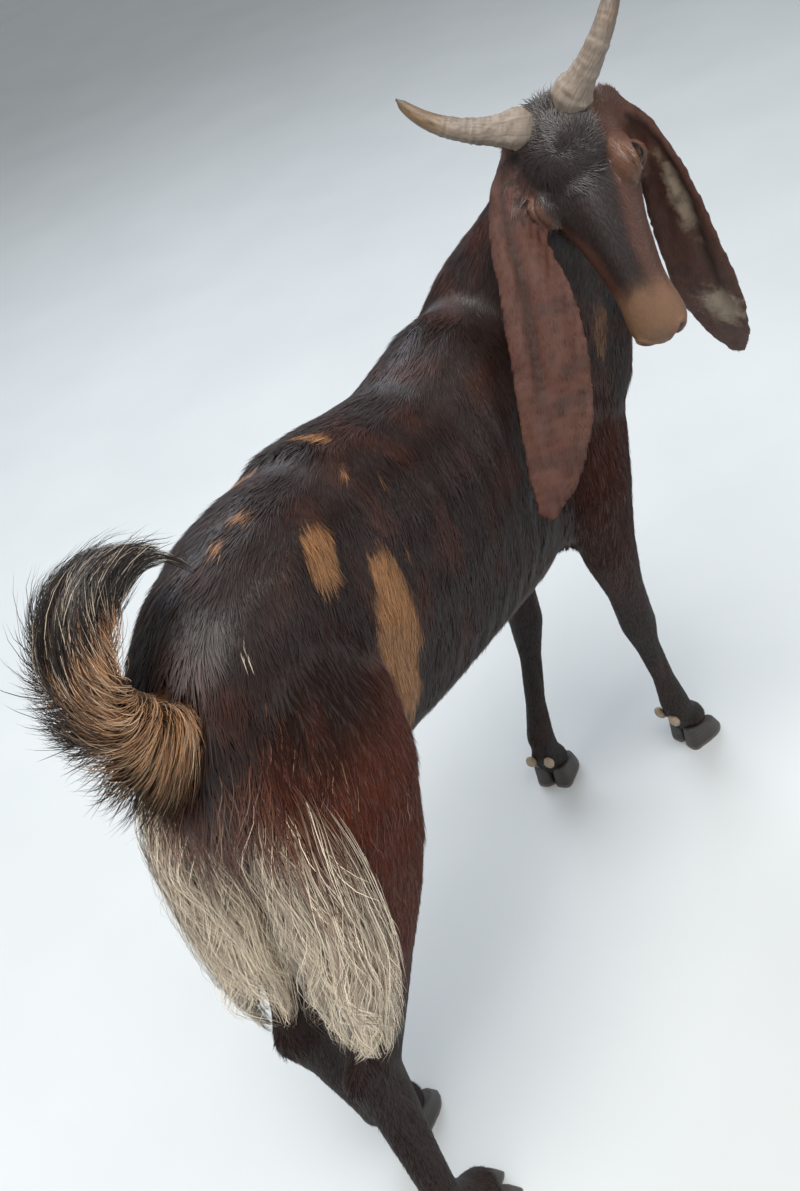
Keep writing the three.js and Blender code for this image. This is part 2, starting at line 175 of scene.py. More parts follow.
class GoatColours(bpy.types.PropertyGroup):
    """The colours of the coat, horns, hooves and eyes."""

    dark: colour_setting("Dark coat", "Near-black brown of the back, sides and neck", "#291b16")
    black: colour_setting("Black points", "Black of the lower legs and the tail's upper hair", "#1a1310")
    rust: colour_setting("Rust", "Red-brown of the thighs and the edges of the legs", "#5a2b1b")
    brown: colour_setting("Face brown", "Warm brown of the cheeks and ears", "#5f3d30")
    tan: colour_setting("Tan", "Tan of the patches, muzzle and tail", "#9a6f49")
    cream: colour_setting("Cream", "Cream of the long hair behind the thighs", "#e0d4bd")
    skin: colour_setting("Bare skin", "Skin of the lids, nostrils and lips", "#5b3c32")
    horn: colour_setting("Horn", "Grey-brown horn", "#786b5e")
    hoof: colour_setting("Hoof", "Dark grey hoof horn", "#37322f")
    dew: colour_setting("Dew claw", "Pale horn of the dew claws", "#a8937a")
    iris: colour_setting("Iris", "Amber-brown of the eye", "#4c3018")


class GoatSizes(bpy.types.PropertyGroup):
    """The sizes of the hide's mesh and of the coat."""

    voxel: length_setting("Hide mesh", "Edge length of the hide's faces", 3.6)
    back_hair: length_setting("Back hair", "Length of the hair on the back and sides", 20)
    leg_hair: length_setting("Leg hair", "Length of the hair on the lower legs", 8)
    face_hair: length_setting("Face hair", "Length of the hair on the cheeks", 6)
    forelock: length_setting("Forelock", "Length of the hair on the forehead", 15)
    ear_hair: length_setting("Ear hair", "Length of the hair on the ears", 6)
    tufts: count_setting("Tufts", "Tufts in the short coat", 226000)
    tail_locks: count_setting("Tail locks", "Locks in the tail", 4300)
    breech_locks: count_setting("Breech locks", "Locks behind each thigh", 2500)


# ---------------------------------------------------------------- shape helpers
def unit(vectors):
    """Vectors at length 1."""
    size = np.linalg.norm(vectors, axis=-1, keepdims=True)
    return vectors / np.maximum(size, 1e-9)


def ease(low, high, value):
    """0 below low and 1 above high, with a smooth rise between them."""
    t = np.clip((value - low) / (high - low), 0, 1)
    return t * t * (3 - 2 * t)


def between(first, second, share):
    """The first where share is 0, the second where it is 1, and mixtures between."""
    return first * (1 - share) + second * share


def hump(away, reach, power=2):
    """1 where away is 0, falling smoothly to nothing beyond the reach."""
    return np.exp(-((away / reach) ** power))


def lump(points, middle, reach):
    """1 at the middle, falling smoothly over its reach along x, y and z."""
    return np.exp(-(((points - middle) / reach) ** 2).sum(1))


def ball(points, middle, reach):
    """1 in a ball round the middle, with a smooth fall at its edge."""
    return hump(np.linalg.norm(points - middle, axis=1), reach, 4)


def turn(axis, degrees):
    """A rotation as a 3 x 3 array."""
    return np.array(Matrix.Rotation(math.radians(degrees), 3, axis))


HEAD_AXES = turn("Z", HEAD_TURN["yaw"]) @ turn("X", HEAD_TURN["pitch"]) @ turn("Y", HEAD_TURN["roll"])


def head_to_body(points):
    """Places in the head's own axes, from the poll, as places in the goat's axes."""
    return np.asarray(points, float) @ HEAD_AXES.T + POLL


def body_to_head(points):
    """Places in the goat's axes as places in the head's own."""
    return (np.asarray(points, float) - POLL) @ HEAD_AXES


def through(rows, steps):
    """A smooth run of rows through the given ones, with that many steps to a span."""
    p = np.array(rows, float)
    p = np.vstack((2 * p[0] - p[1], p, 2 * p[-1] - p[-2]))
    t = (np.arange(steps) / steps)[:, None]
    spans = []
    for a, b, c, d in zip(p, p[1:], p[2:], p[3:]):
        square, cube = 2 * a - 5 * b + 4 * c - d, 3 * b - a - 3 * c + d
        spans.append(0.5 * (2 * b + (c - a) * t + square * t**2 + cube * t**3))
    return np.vstack((*spans, p[-2:-1]))


def evened(line, count):
    """A line's points moved to even distances along it."""
    gone = np.r_[0, np.cumsum(np.linalg.norm(np.diff(line[:, :3], axis=0), axis=1))]
    at = np.linspace(0, gone[-1], count)
    return np.stack([np.interp(at, gone, column) for column in line.T], axis=1)


def ripple(points, size, seed):
    """Smooth noise from -1 to 1 at each point, whose bumps are about size across."""
    rng = np.random.default_rng(seed)
    total = np.zeros(len(points))
    for _ in range(7):
        wave = unit(rng.normal(size=points.shape[1])) * (2 * math.pi / size) * rng.uniform(0.6, 1.5)
        total += np.sin(points @ wave + rng.uniform(0, 6.28))
    return total / 3.2


def nearest(points, line):
    """The number of the place on a line or in a list that lies nearest to each point."""
    tree = KDTree(len(line))
    for i, place in enumerate(line):
        tree.insert(place, i)
    tree.balance()
    return np.array([tree.find(p)[1] for p in points], int)


def ring_axes(line, side):
    """Along, across and up directions at each point of a line."""
    along = unit(np.gradient(line, axis=0))
    side = np.broadcast_to(np.asarray(side, float), line.shape)
    across = unit(side - along * (side * along).sum(1, keepdims=True))
    return along, across, np.cross(across, along)


def tube(rows, side, sides=40, power=1.0, bend=None):
    """A closed body through oval rings. A row is a ring's middle, half width, and reach over and under."""
    line, wide, over, under = rows[:, :3], rows[:, 3:4], rows[:, 4:5], rows[:, 5:6]
    along, across, up = ring_axes(line, side)
    angle = np.arange(sides) * 2 * math.pi / sides
    c = np.sign(np.cos(angle)) * np.abs(np.cos(angle)) ** (1 / power)
    s = np.sign(np.sin(angle)) * np.abs(np.sin(angle)) ** (1 / power)
    high = np.where(s > 0, over, under) * s
    if bend is not None:
        high = high + bend(c[None], np.linspace(0, 1, len(rows))[:, None])
    points = line[:, None] + across[:, None] * (wide * c)[..., None] + up[:, None] * high[..., None]
    bulge = 0.3 * np.minimum(wide, np.minimum(over, under))
    ends = (points[0].mean(0) - along[0] * bulge[0], points[-1].mean(0) + along[-1] * bulge[-1])
    n, k = len(rows), np.arange(sides)
    after = (k + 1) % sides
    faces = []
    for first in range(0, (n - 1) * sides, sides):
        faces += zip(first + k, first + after, first + sides + after, first + sides + k)
    faces += [(n * sides, b, a) for a, b in zip(k, after)]
    faces += [(n * sides + 1, (n - 1) * sides + a, (n - 1) * sides + b) for a, b in zip(k, after)]
    return np.vstack((points.reshape(-1, 3), *[e[None] for e in ends])), faces


def rod(line, thick, flat, side, sides):
    """A rod along a line, whose width is its thickness made flatter."""
    return tube(np.column_stack((line, thick * flat, thick, thick)), side, sides=sides)


def unit_ball(across, down):
    """The points and faces of a ball of radius 1, in the same order each run."""
    bm = bmesh.new()
    bmesh.ops.create_uvsphere(bm, u_segments=across, v_segments=down, radius=1)
    points = np.array([v.co for v in bm.verts])
    faces = [[v.index for v in f.verts] for f in bm.faces]
    bm.free()
    first = [f.index(min(f)) for f in faces]
    return points, sorted(f[i:] + f[:i] for f, i in zip(faces, first))


def egg(centre, half):
    """An egg with three half sizes."""
    points, faces = unit_ball(24, 12)
    return points * half + centre, faces


def mesh_from(name, points, faces):
    """A smooth mesh whose points are given in mm in the goat's own axes."""
    mesh = bpy.data.meshes.new(name)
    faces = [tuple(map(int, f)) for f in faces]
    mesh.from_pydata(((np.asarray(points) + ORIGIN) / 1000).tolist(), [], faces)
    mesh.validate()
    mesh.shade_smooth()
    return mesh


def put(name, mesh):
    """A new object that shows a mesh."""
    made = bpy.data.objects.new(name, mesh)
    bpy.context.scene.collection.objects.link(made)
    return made


def settle(piece, material, slot, *nodes):
    """Gives a piece its material and body, and hides the solids that it stands for. Its slot is not used."""
    piece.data.materials.append(material)
    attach(piece, "root")
    if nodes:
        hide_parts(*nodes)


def remesh(piece, voxel):
    """Makes a piece one closed surface, with faces of one size in metres."""
    for other in bpy.context.selected_objects:
        other.select_set(False)
    piece.data.remesh_voxel_size = voxel
    piece.data.remesh_voxel_adaptivity = 0
    bpy.context.view_layer.objects.active = piece
    piece.select_set(True)
    bpy.ops.object.voxel_remesh()


def numbers(items, name, width, kind=np.float64):
    """A property of every item of a mesh as an array."""
    values = np.empty(len(items) * width, kind)
    items.foreach_get(name, values)
    return values.reshape(-1, width) if width > 1 else values


def places(mesh):
    """A mesh's points in mm in the goat's own axes."""
    return numbers(mesh.vertices, "co", 3) * 1000 - ORIGIN


def move_points(mesh, points):
    """Moves a mesh's points to these places in mm."""
    mesh.vertices.foreach_set("co", ((points + ORIGIN) / 1000).astype(np.float32).ravel())
    mesh.update()


def store(mesh, name, values, kind="FLOAT"):
    """Keeps a number or a vector for each point of a mesh."""
    layer = mesh.attributes.get(name) or mesh.attributes.new(name, kind, "POINT")
    field = "vector" if kind == "FLOAT_VECTOR" else "value"
    layer.data.foreach_set(field, np.asarray(values, np.float32).ravel())


def set_map(mesh, name, values):
    """Adds a UV map with a place for each corner."""
    layer = mesh.uv_layers.new(name=name)
    layer.uv.foreach_set("vector", values.astype(np.float32).ravel())


def stored(mesh, name, width=1):
    """The numbers kept for each point of a mesh."""
    return numbers(mesh.attributes[name].data, "vector" if width == 3 else "value", width)


class Net:
    """Which points of a mesh are joined by an edge, to average over them."""

    def __init__(self, mesh):
        edges = numbers(mesh.edges, "vertices", 2, np.int32)
        here = np.r_[edges[:, 0], edges[:, 1]]
        there = np.r_[edges[:, 1], edges[:, 0]]
        order = np.argsort(here, kind="stable")
        self.near = there[order]
        self.count = np.bincount(here, minlength=len(mesh.vertices))
        self.start = np.r_[0, np.cumsum(self.count)[:-1]]

    def mean(self, values):
        """The mean over each point's neighbours."""
        total = np.add.reduceat(values[self.near], self.start, axis=0)
        return total / (self.count[:, None] if values.ndim > 1 else self.count)

    def smooth(self, values, times, amount=0.5):
        """Moves each point's values part of the way to its neighbours' mean, several times."""
        for _ in range(times):
            step = self.mean(values) - values
            values = values + step * (amount[:, None] if np.ndim(amount) and values.ndim > 1 else amount)
        return values


# ---------------------------------------------------------------- the hide's form
# The skull's rings in the head's axes: middle, half width, and reach over and under, with the face's hair.
SKULL = (
    (0, 2, -66, 24, 10, 18),
    (0, -14, -50, 45, 31, 44),
    (0, -44, -38, 55, 42, 60),
    (0, -90, -37, 49, 43, 56),
    (0, -140, -39, 37, 39, 43),
    (0, -190, -43, 30, 34, 32),
    (0, -HEAD_LENGTH + 28, -48, 32, 30, 27),
    (0, -HEAD_LENGTH + 12, -50, 29, 25, 22),
    (0, -HEAD_LENGTH + 5, -51, 21, 17, 15),
)
FACE_COAT = 2.0  # mm of hair that the skull's rings include


def head_forms():
    """The skull under the hair of the face, in the goat's own axes."""
    rows = through(SKULL, 8)
    rows[:, 3:] -= FACE_COAT
    eggs = [((0, -46, -4), (43, 36, 15)), ((0, -18, -9), (34, 25, 14))]
    for s, ear in ((-1, "ear_right"), (1, "ear_left")):
        eggs += [
            ((s * 44, -82, -17), (15, 27, 17)),  # orbit
            ((s * 33, -60, -72), (20, 44, 32)),  # jaw
            ((s * 30, -12, -4), (21, 20, 15)),  # under the horn
            ((s * 45, EARS[ear]["root"][1], -40), (18, 18, 20)),  # root of the ear
        ]
    forms = [tube(rows, (-1, 0, 0), sides=48, power=1.05), *[egg(*sizes) for sizes in eggs]]
    return [(head_to_body(points), faces) for points, faces in forms]


def ear_line(name):
    """The line that an ear hangs along, root first, at the ear's full length."""
    root = head_to_body(EARS[name]["root"])
    line = evened(through(((0, 0, 0), *EARS[name]["hang"]), 20), 97)
    length = np.linalg.norm(np.diff(line, axis=0), axis=1).sum()
    return line * (EAR_LENGTH - 4) / length + root


def fold(c, t, place, width, height):
    """How high a fold of the ear stands, across it at c and along it at t."""
    return height * hump(c - place - 0.07 * np.sin(t * 8), width) * (1 - ease(0.5, 0.95, t))


def ear_form(name):
    """A thin hanging leaf, cupped, with rolled edges and folds that run its length."""
    line = ear_line(name)
    t = np.linspace(0, 1, len(line))
    wide, thick, cup = (np.interp(t, EAR_LEAF[:, 0], EAR_LEAF[:, i]) for i in (1, 2, 3))
    wide = np.convolve(np.pad(wide, 4, mode="edge"), np.ones(9) / 9, "valid")
    sign = EARS[name]["cup"]

    def bend(c, t):
        body = ease(0.06, 0.24, t) * (1 - ease(0.86, 1, t))
        folds = sum(fold(c, t, *one) for one in EARS[name]["folds"])
        roll = 4.5 * ease(0.8, 1.0, np.abs(c)) * (1 - ease(0.7, 0.95, t))
        waves = 1.6 * np.sin(t * 19 + c * 2.2) * np.abs(c)
        return sign * (cup[:, None] * c * c - roll * body) + (folds + waves) * body

    rows = np.column_stack((line, wide, thick, thick))
    return tube(rows, EARS[name]["side"], sides=72, power=1.25, bend=bend)


OVERLAP = 1.4  # mm that neighbouring forms are pushed into each other before they become one hide


def solid_points(name):
    """A CAD solid's points, pushed out a little so that neighbours overlap, and its faces."""
    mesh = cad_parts[name].data
    points = places(mesh)
    triangles = np.array([p.vertices[:] for p in mesh.polygons])
    found = {}
    merged = np.array([found.setdefault(key, len(found)) for key in map(tuple, np.round(points, 2))])
    spots = np.array(list(found), float)
    triangles = merged[triangles]
    triangles = triangles[(triangles != np.roll(triangles, 1, axis=1)).all(axis=1)]
    a, b, c = (spots[triangles[:, i]] for i in range(3))
    facing = np.cross(b - a, c - a)
    outward = np.zeros_like(spots)
    for i in range(3):
        np.add.at(outward, triangles[:, i], facing)
    return spots + unit(outward) * OVERLAP, triangles.tolist()


def hide_forms():
    """Every form that the hide is made from, with its region."""
    forms = [(i, *solid_points(n)) for i, n in enumerate(REGIONS) if n in ("trunk", "neck", *LEGS)]
    forms += [(HEAD, *form) for form in head_forms()]
    forms += [(REGIONS.index(name), *ear_form(name)) for name in EARS]
    dock = through(LINES["dock"], 10)
    forms.append((DOCK, *rod(dock, np.linspace(17, 7, len(dock)), 1.0, (1, 0, 0), 20)))
    # plugs that fill the thin gaps inside, where neck, trunk, head and legs meet
    neck = through(LINES["neck"], 8)
    forms.append((NECK, *rod(neck, np.linspace(56, 27, len(neck)), 0.8, (-0.62, 0.76, -0.2), 24)))
    for number, leg in zip(LEG_REGIONS, LEGS):
        top = through(LINES[leg][:2], 8)[:6]
        forms.append((number, *rod(top, np.linspace(34, 26, len(top)), 0.7, (1, 0, 0), 16)))
        # a pad of flesh that each dew claw grows from
        shank = through(LINES[leg], 12)
        for side in ("inner", "outer"):
            middle = solid_points(leg.replace("leg", "dewclaw") + "_" + side)[0].mean(axis=0)
            near = shank[np.linalg.norm(shank - middle, axis=1).argmin()]
            forms.append((number, *egg(middle + unit(near - middle) * 10, (11, 11, 14))))
    return forms


def spots_on(points, faces, step, rng):
    """Random points on a form, about one to each step squared."""
    halves = [((f[0], f[1], f[2]), (f[0], f[2], f[-1]))[: len(f) - 2] for f in faces]
    triangles = np.array([triangle for half in halves for triangle in half])
    a, b, c = (points[triangles[:, i]] for i in range(3))
    area = np.linalg.norm(np.cross(b - a, c - a), axis=1) / 2
    chosen = np.repeat(np.arange(len(area)), rng.poisson(area / step**2))
    u, v = rng.random((2, len(chosen), 1))
    u, v = np.where(u + v > 1, 1 - u, u), np.where(u + v > 1, 1 - v, v)
    return a[chosen] + (b - a)[chosen] * u + (c - a)[chosen] * v


def one_skin(forms, voxel):
    """All the forms as one closed surface."""
    points, faces, first = [], [], 0
    for _, p, f in forms:
        points.append(p)
        faces += [[i + first for i in face] for face in f]
        first += len(p)
    hide = put("hide", mesh_from("hide", np.vstack(points), faces))
    remesh(hide, voxel)
    bm = bmesh.new()
    bm.from_mesh(hide.data)
    keep_largest(bm)
    bm.to_mesh(hide.data)
    bm.free()
    return hide


def keep_largest(bm):
    """Deletes every island of a mesh but the largest."""
    left = set(bm.verts)
    islands = []
    while left:
        seed = left.pop()
        island, edge = [seed], [seed]
        while edge:
            found = []
            for v in edge:
                for e in v.link_edges:
                    other = e.other_vert(v)
                    if other in left:
                        left.discard(other)
                        found.append(other)
            island += found
            edge = found
        islands.append(island)
    islands.sort(key=len)
    bmesh.ops.delete(bm, geom=[v for island in islands[:-1] for v in island], context="VERTS")


def refine(mesh, chosen_by, times):
    """Halves the faces whose middles are chosen, in the head's own axes."""
    bm = bmesh.new()
    bm.from_mesh(mesh)
    for level in range(times):
        middles = body_to_head(np.array([f.calc_center_median() for f in bm.faces]) * 1000 - ORIGIN)
        chosen = chosen_by(middles, level)
        # in the mesh's order, so that each run gives the same faces
        edges = dict.fromkeys(e for f, yes in zip(bm.faces, chosen) if yes for e in f.edges)
        bmesh.ops.subdivide_edges(bm, edges=list(edges), cuts=1, use_grid_fill=True)
    bmesh.ops.triangulate(bm, faces=[f for f in bm.faces if len(f.verts) > 4])
    bm.to_mesh(mesh)
    bm.free()


def from_eyes(head):
    """How far each point lies from the nearer eye."""
    return np.minimum(*[np.linalg.norm(head - EYE * (s, 1, 1), axis=1) for s in (-1, 1)])


def fine_face(middles, level):
    """The parts of the face that get finer faces: all of it once, the eyes, nose and lips twice."""
    x, y, z = middles.T
    back, side, high = (-214, 45, -50) if level else (-20, 62, -38)
    part = (y < back) & (y > -275) & (np.abs(x) < side) & (np.abs(z - high) < side)
    return (from_eyes(middles) < 27) | part


# Swellings and hollows of bone and muscle: place, reach along x, y and z, height in mm. The goat has
# each one on both sides unless its x is 0.
RELIEF = (
    ((70, 172, 762), (22, 26, 22), 5.0),  # hip point
    ((40, 322, 704), (20, 18, 24), 4.5),  # pin bone
    ((0, -190, 776), (16, 60, 30), 3.0),  # withers
    ((0, 60, 790), (11, 210, 30), 2.6),  # ridge of the back
    ((0, 240, 800), (16, 60, 30), 2.0),  # croup
    ((34, 60, 770), (16, 150, 22), -1.8),  # beside the spine
    ((92, 118, 722), (40, 36, 34), -8.0),  # hollow of the flank
    ((98, 150, 560), (34, 34, 46), 4.5),  # stifle
    ((86, 112, 566), (30, 20, 60), -4.0),  # before the stifle
    ((88, -196, 590), (40, 20, 70), -4.5),  # behind the shoulder
    ((66, -228, 700), (34, 22, 60), 3.0),  # blade of the shoulder
    ((80, -262, 640), (34, 14, 70), -2.0),
    ((78, -322, 566), (34, 30, 40), 4.5),  # point of the shoulder
    ((96, -250, 520), (34, 34, 34), 4.0),  # muscle above the elbow
    ((100, 232, 600), (40, 34, 60), 4.0),  # outer thigh
    ((84, 292, 610), (26, 14, 70), -4.0),  # groove behind the thigh
    ((66, 322, 640), (30, 20, 50), 3.0),
    ((0, -360, 560), (26, 30, 60), 3.5),  # breast
    ((0, -120, 440), (26, 90, 30), 3.0),  # breastbone
)


def relief(points, lumps):
    """How far bone and muscle lift each point."""
    lift = np.zeros(len(points))
    for (x, y, z), reach, height in lumps:
        for s in (-1, 1) if x else (1,):
            lift += height * lump(points, (s * x, y, z), reach)
    return lift


def ribs(points, facing):
    """Faint ribs on the barrel, slanting back as they go down."""
    slant = points[:, 1] + (points[:, 2] - 600) * 0.28
    inside = ease(-190, -130, points[:, 1]) * (1 - ease(40, 105, points[:, 1]))
    level = ease(470, 530, points[:, 2]) * (1 - ease(690, 740, points[:, 2]))
    return 0.9 * np.sin(slant * 2 * math.pi / 33) * inside * level * np.abs(facing[:, 0])


# How strongly each region of the hide is smoothed.
SMOOTHING = (1.0, 0.8, 0.03, 0.1, 0.1, 0.2, 0.2, 0.2, 0.2, 0.3)

# Swellings and hollows of the legs, each given from a joint of the leg as above.
KNEE = (((0, -20, 4), (16, 14, 20), 3.0), ((0, 22, 2), (12, 12, 16), 2.0))
HOCK = (((0, 34, 22), (13, 15, 18), 4.5), ((24, 16, 58), (14, 12, 40), -4.0))
TENDONS = (((18, 4, 0), (12, 6, 62), -2.2),)
FETLOCK = (((0, 14, -4), (16, 12, 14), 1.8),)


def leg_relief(points, region):
    """How far tendons, knee caps and hocks lift each point."""
    lift = np.zeros(len(points))
    for number, leg in zip(LEG_REGIONS, LEGS):
        on = region == number
        bend, fetlock = (np.array(LINES[leg][j], float) for j in (2, 3))
        lift[on] = relief(points[on] - bend, KNEE if "fore" in leg else HOCK)
        lift[on] += relief(points[on] - (bend + fetlock) / 2, TENDONS)
        lift[on] += relief(points[on] - fetlock, FETLOCK)
    return lift


def groove(points, path, width, depth):
    """A crease along a path: how much it sinks each point, and how far each lies from it."""
    away = np.full(len(points), 1e9)
    for a, b in zip(path, path[1:]):
        a, b = np.array(a, float), np.array(b, float)
        t = np.clip(((points - a) @ (b - a)) / ((b - a) @ (b - a)), 0, 1)[:, None]
        away = np.minimum(away, np.linalg.norm(points - a - (b - a) * t, axis=1))
    return -depth * hump(away, width), away


def eye_axes(s):
    """Out of the eye, towards the nose and up, in the head's axes."""
    out = unit(np.array((s * 0.89, -0.28, 0.36)))
    nose = np.array((0, -1, -0.12))
    nose = unit(nose - out * (nose @ out))
    up = np.cross(nose, out) * s
    return out, nose, up if up[2] > 0 else -up


LIDS = (12.4, 5.5, 4.3)  # mm, half the length of the eye's opening, and its height above and below


def from_eye(head, s):
    """Each point's offset from an eye, its run, rise and stand, and how far it is to the lids' rims, at 1."""
    out, nose, up = eye_axes(s)
    rel = head - EYE * (s, 1, 1)
    x, y, z = rel @ nose, rel @ up, rel @ out
    y = y + 0.10 * x
    long, over, under = LIDS
    return rel, x, y, z, np.sqrt((x / long) ** 2 + (y / np.where(y > 0, over, under)) ** 2)


def lids(head, s):
    """Draws the hide round an eye: an open slit, two lids with rims, and the creases beyond them."""
    rel, x, y, z, e = from_eye(head, s)
    radius = np.linalg.norm(rel, axis=1)
    rim = 16.2 - 4.6 * (1 - ease(0.86, 1.02, e)) - 0.9 * ease(1.15, 1.6, e)
    crease = -1.5 * hump(e - 2.15, 0.22) * ease(0, 3, y) - 0.9 * hump(e - 2.3, 0.25) * ease(0, 3, -y)
    brow = 1.9 * np.exp(-(((y - 19) / 5.5) ** 2 + (x / 18) ** 2))
    hold = (1 - ease(17, 27, np.hypot(x, y * 1.15))) * ease(-6, 2, z)
    pit = 1 - ease(0.95, 1.1, e)
    size = np.where(pit > 0.5, rim, np.maximum(rim, radius * 0.55 + rim * 0.45)) + crease
    drawn = rel * (size / np.maximum(radius, 1))[:, None]
    moved = rel + (drawn - rel) * hold[:, None]
    moved = moved + eye_axes(s)[0] * (brow * ease(-6, 6, z))[:, None]
    on = (radius < 42) & (z > -12)
    return np.where(on[:, None], moved + EYE * (s, 1, 1), head)


# The same for the face, in the head's axes.
FACE_RELIEF = (
    ((20, -120, 0), (10, 40, 14), -1.6),  # beside the bridge of the nose
    ((44, -118, -34), (10, 30, 7), 2.2),  # cheek ridge
    ((40, -118, -54), (12, 34, 10), -2.4),  # under the cheek ridge
    ((36, -56, -78), (14, 30, 26), 2.0),  # jaw muscle
    ((0, -150, -2), (12, 60, 14), 1.4),  # bridge of the nose
    ((0, -75, 6), (16, 18, 12), -1.2),  # between the eyes
    ((19, -242, -38), (8, 9, 7), 2.0),  # wing of the nostril
    ((0, -256, -42), (9, 8, 7), 1.4),  # tip of the nose
    ((0, -246, -74), (12, 12, 7), 1.4),  # chin
    ((24, -200, -42), (10, 26, 12), -1.3),
)
NOSE_MIDDLE, NOSE_RADIUS = np.array((0.0, -228.0, -49.0)), 26


def on_ball(points):
    """Points moved straight out onto a ball inside the muzzle, to draw on its front however that curves."""
    return NOSE_MIDDLE + unit(np.asarray(points, float) - NOSE_MIDDLE) * NOSE_RADIUS


def nostril(head, s):
    """The comma of a nostril: how much it sinks each point, and how far each lies from it."""
    path = on_ball(((s * 7, -256, -51.5), (s * 8.5, -256, -46), (s * 13, -252, -41), (s * 18.5, -246, -39)))
    sunk, away = groove(on_ball(head), path, 2.2, 4.2)
    pit = groove(on_ball(head), path[:3], 1.9, 2.5)[0]
    front = head[:, 1] < -206
    return (sunk + pit + 1.5 * hump(away - 5.4, 2.0)) * front, np.where(front, away, 99)


def above_mouth(head):
    """How far each point lies above the line of the mouth, and how far forward along it."""
    line = np.interp(head[:, 1], (-262, -236, -196), (-62.5, -64.5, -68))
    return head[:, 2] - line, 1 - ease(-212, -196, head[:, 1])


def face(points, facing, on):
    """Draws the face: cheeks, nostrils, mouth and lids."""
    head = body_to_head(points[on])
    out = facing[on] @ HEAD_AXES
    lift = relief(head, FACE_RELIEF) + nostril(head, -1)[0] + nostril(head, 1)[0]
    above, open_here = above_mouth(head)
    lips = 1.1 * hump(above - 4, 2.2) + 0.7 * hump(above + 4, 2.2)
    lift += open_here * (lips - 2.4 * hump(above, 1.8))
    lift -= 2.4 * ease(0, 6, -above) * (1 - ease(-252, -236, head[:, 1]))
    philtrum = groove(on_ball(head), on_ball(((0, -258, -51), (0, -258, -61))), 1.1, 1.5)[0]
    head = head + out * (lift + philtrum * (head[:, 1] < -240))[:, None]
    moved = points.copy()
    moved[on] = head_to_body(lids(lids(head, -1), 1))
    return moved


# How far the hide lies inside the coat's tips in each region, in mm.
COAT_DEPTH = (4.4, 3.8, 0, 0, 0, 2.6, 2.6, 2.6, 2.6, 0)


def coat_depth(points, region):
    """How far the hide lies inside the coat's tips: more on the upper legs and less at the feet."""
    legs, z = np.isin(region, LEG_REGIONS), points[:, 2]
    more = legs * ease(380, 520, z) * 1.6
    return np.choose(region, COAT_DEPTH) + more - legs * (1 - ease(60, 110, z)) * 1.2


def facings(mesh):
    """Which way the mesh faces at each of its points."""
    return numbers(mesh.vertex_normals, "vector", 3)


# ---------------------------------------------------------------- the hide's unwrap
# Where each region lies on the hide's map: left, bottom, width, height.
ISLANDS = {
    "trunk": (0.01, 0.45, 0.60, 0.54),
    "neck": (0.63, 0.62, 0.36, 0.37),
    "head": (0.63, 0.34, 0.36, 0.26),
    "leg_fore_left": (0.01, 0.01, 0.135, 0.42),
    "leg_fore_right": (0.15, 0.01, 0.135, 0.42),
    "leg_hind_left": (0.29, 0.01, 0.16, 0.42),
    "leg_hind_right": (0.455, 0.01, 0.16, 0.42),
    "ear_left": (0.63, 0.01, 0.13, 0.31),
    "ear_right": (0.77, 0.01, 0.13, 0.31),
    "dock": (0.91, 0.01, 0.08, 0.31),
}


def region_line(name):
    """The line that a region is unwrapped round, and the direction of angle 0."""
    if name in EARS:
        return ear_line(name), EARS[name]["side"]
    if name == "head":
        spine = through(((0, 30, -52), (0, -60, -42), (0, -160, -42), (0, -266, -50)), 20)
        return head_to_body(spine), -HEAD_AXES[:, 2]
    line = through(LINES[name], 20)
    if name in LEGS:
        return np.vstack((line[0] + (0, 0, 110), line, line[-1] - (0, 0, 30))), (0, -1, 0)
    return line, {"trunk": (0, 0, -1), "neck": (0.6, -0.3, -1), "dock": (1, 0, 0)}[name]


def unwrap(name, points):
    """Round and along a region's line, each from 0 to 1."""
    line, side = region_line(name)
    line = evened(line, 120)
    along, across, up = ring_axes(line, side)
    near = nearest(points, line)
    rel = points - line[near]
    step = np.linalg.norm(line[1] - line[0])
    v = (near + (rel * along[near]).sum(1) / step) / (len(line) - 1)
    x, y = (rel * across[near]).sum(1), (rel * up[near]).sum(1)
    if name in EARS:
        wide, cup = (np.interp(np.clip(v, 0, 1), EAR_LEAF[:, 0], EAR_LEAF[:, i]) for i in (1, 3))
        c = np.clip(x / (wide * 1.15), -1, 1)
        cup = EARS[name]["cup"] * cup * c * c
        u = np.where(y - cup > 0, (1 - c) / 4, 0.5 + (1 + c) / 4)
    else:
        u = (np.arctan2(y, x) / (2 * math.pi)) % 1.0
    return np.clip(u, 0, 0.9999), np.clip(v, 0, 1)


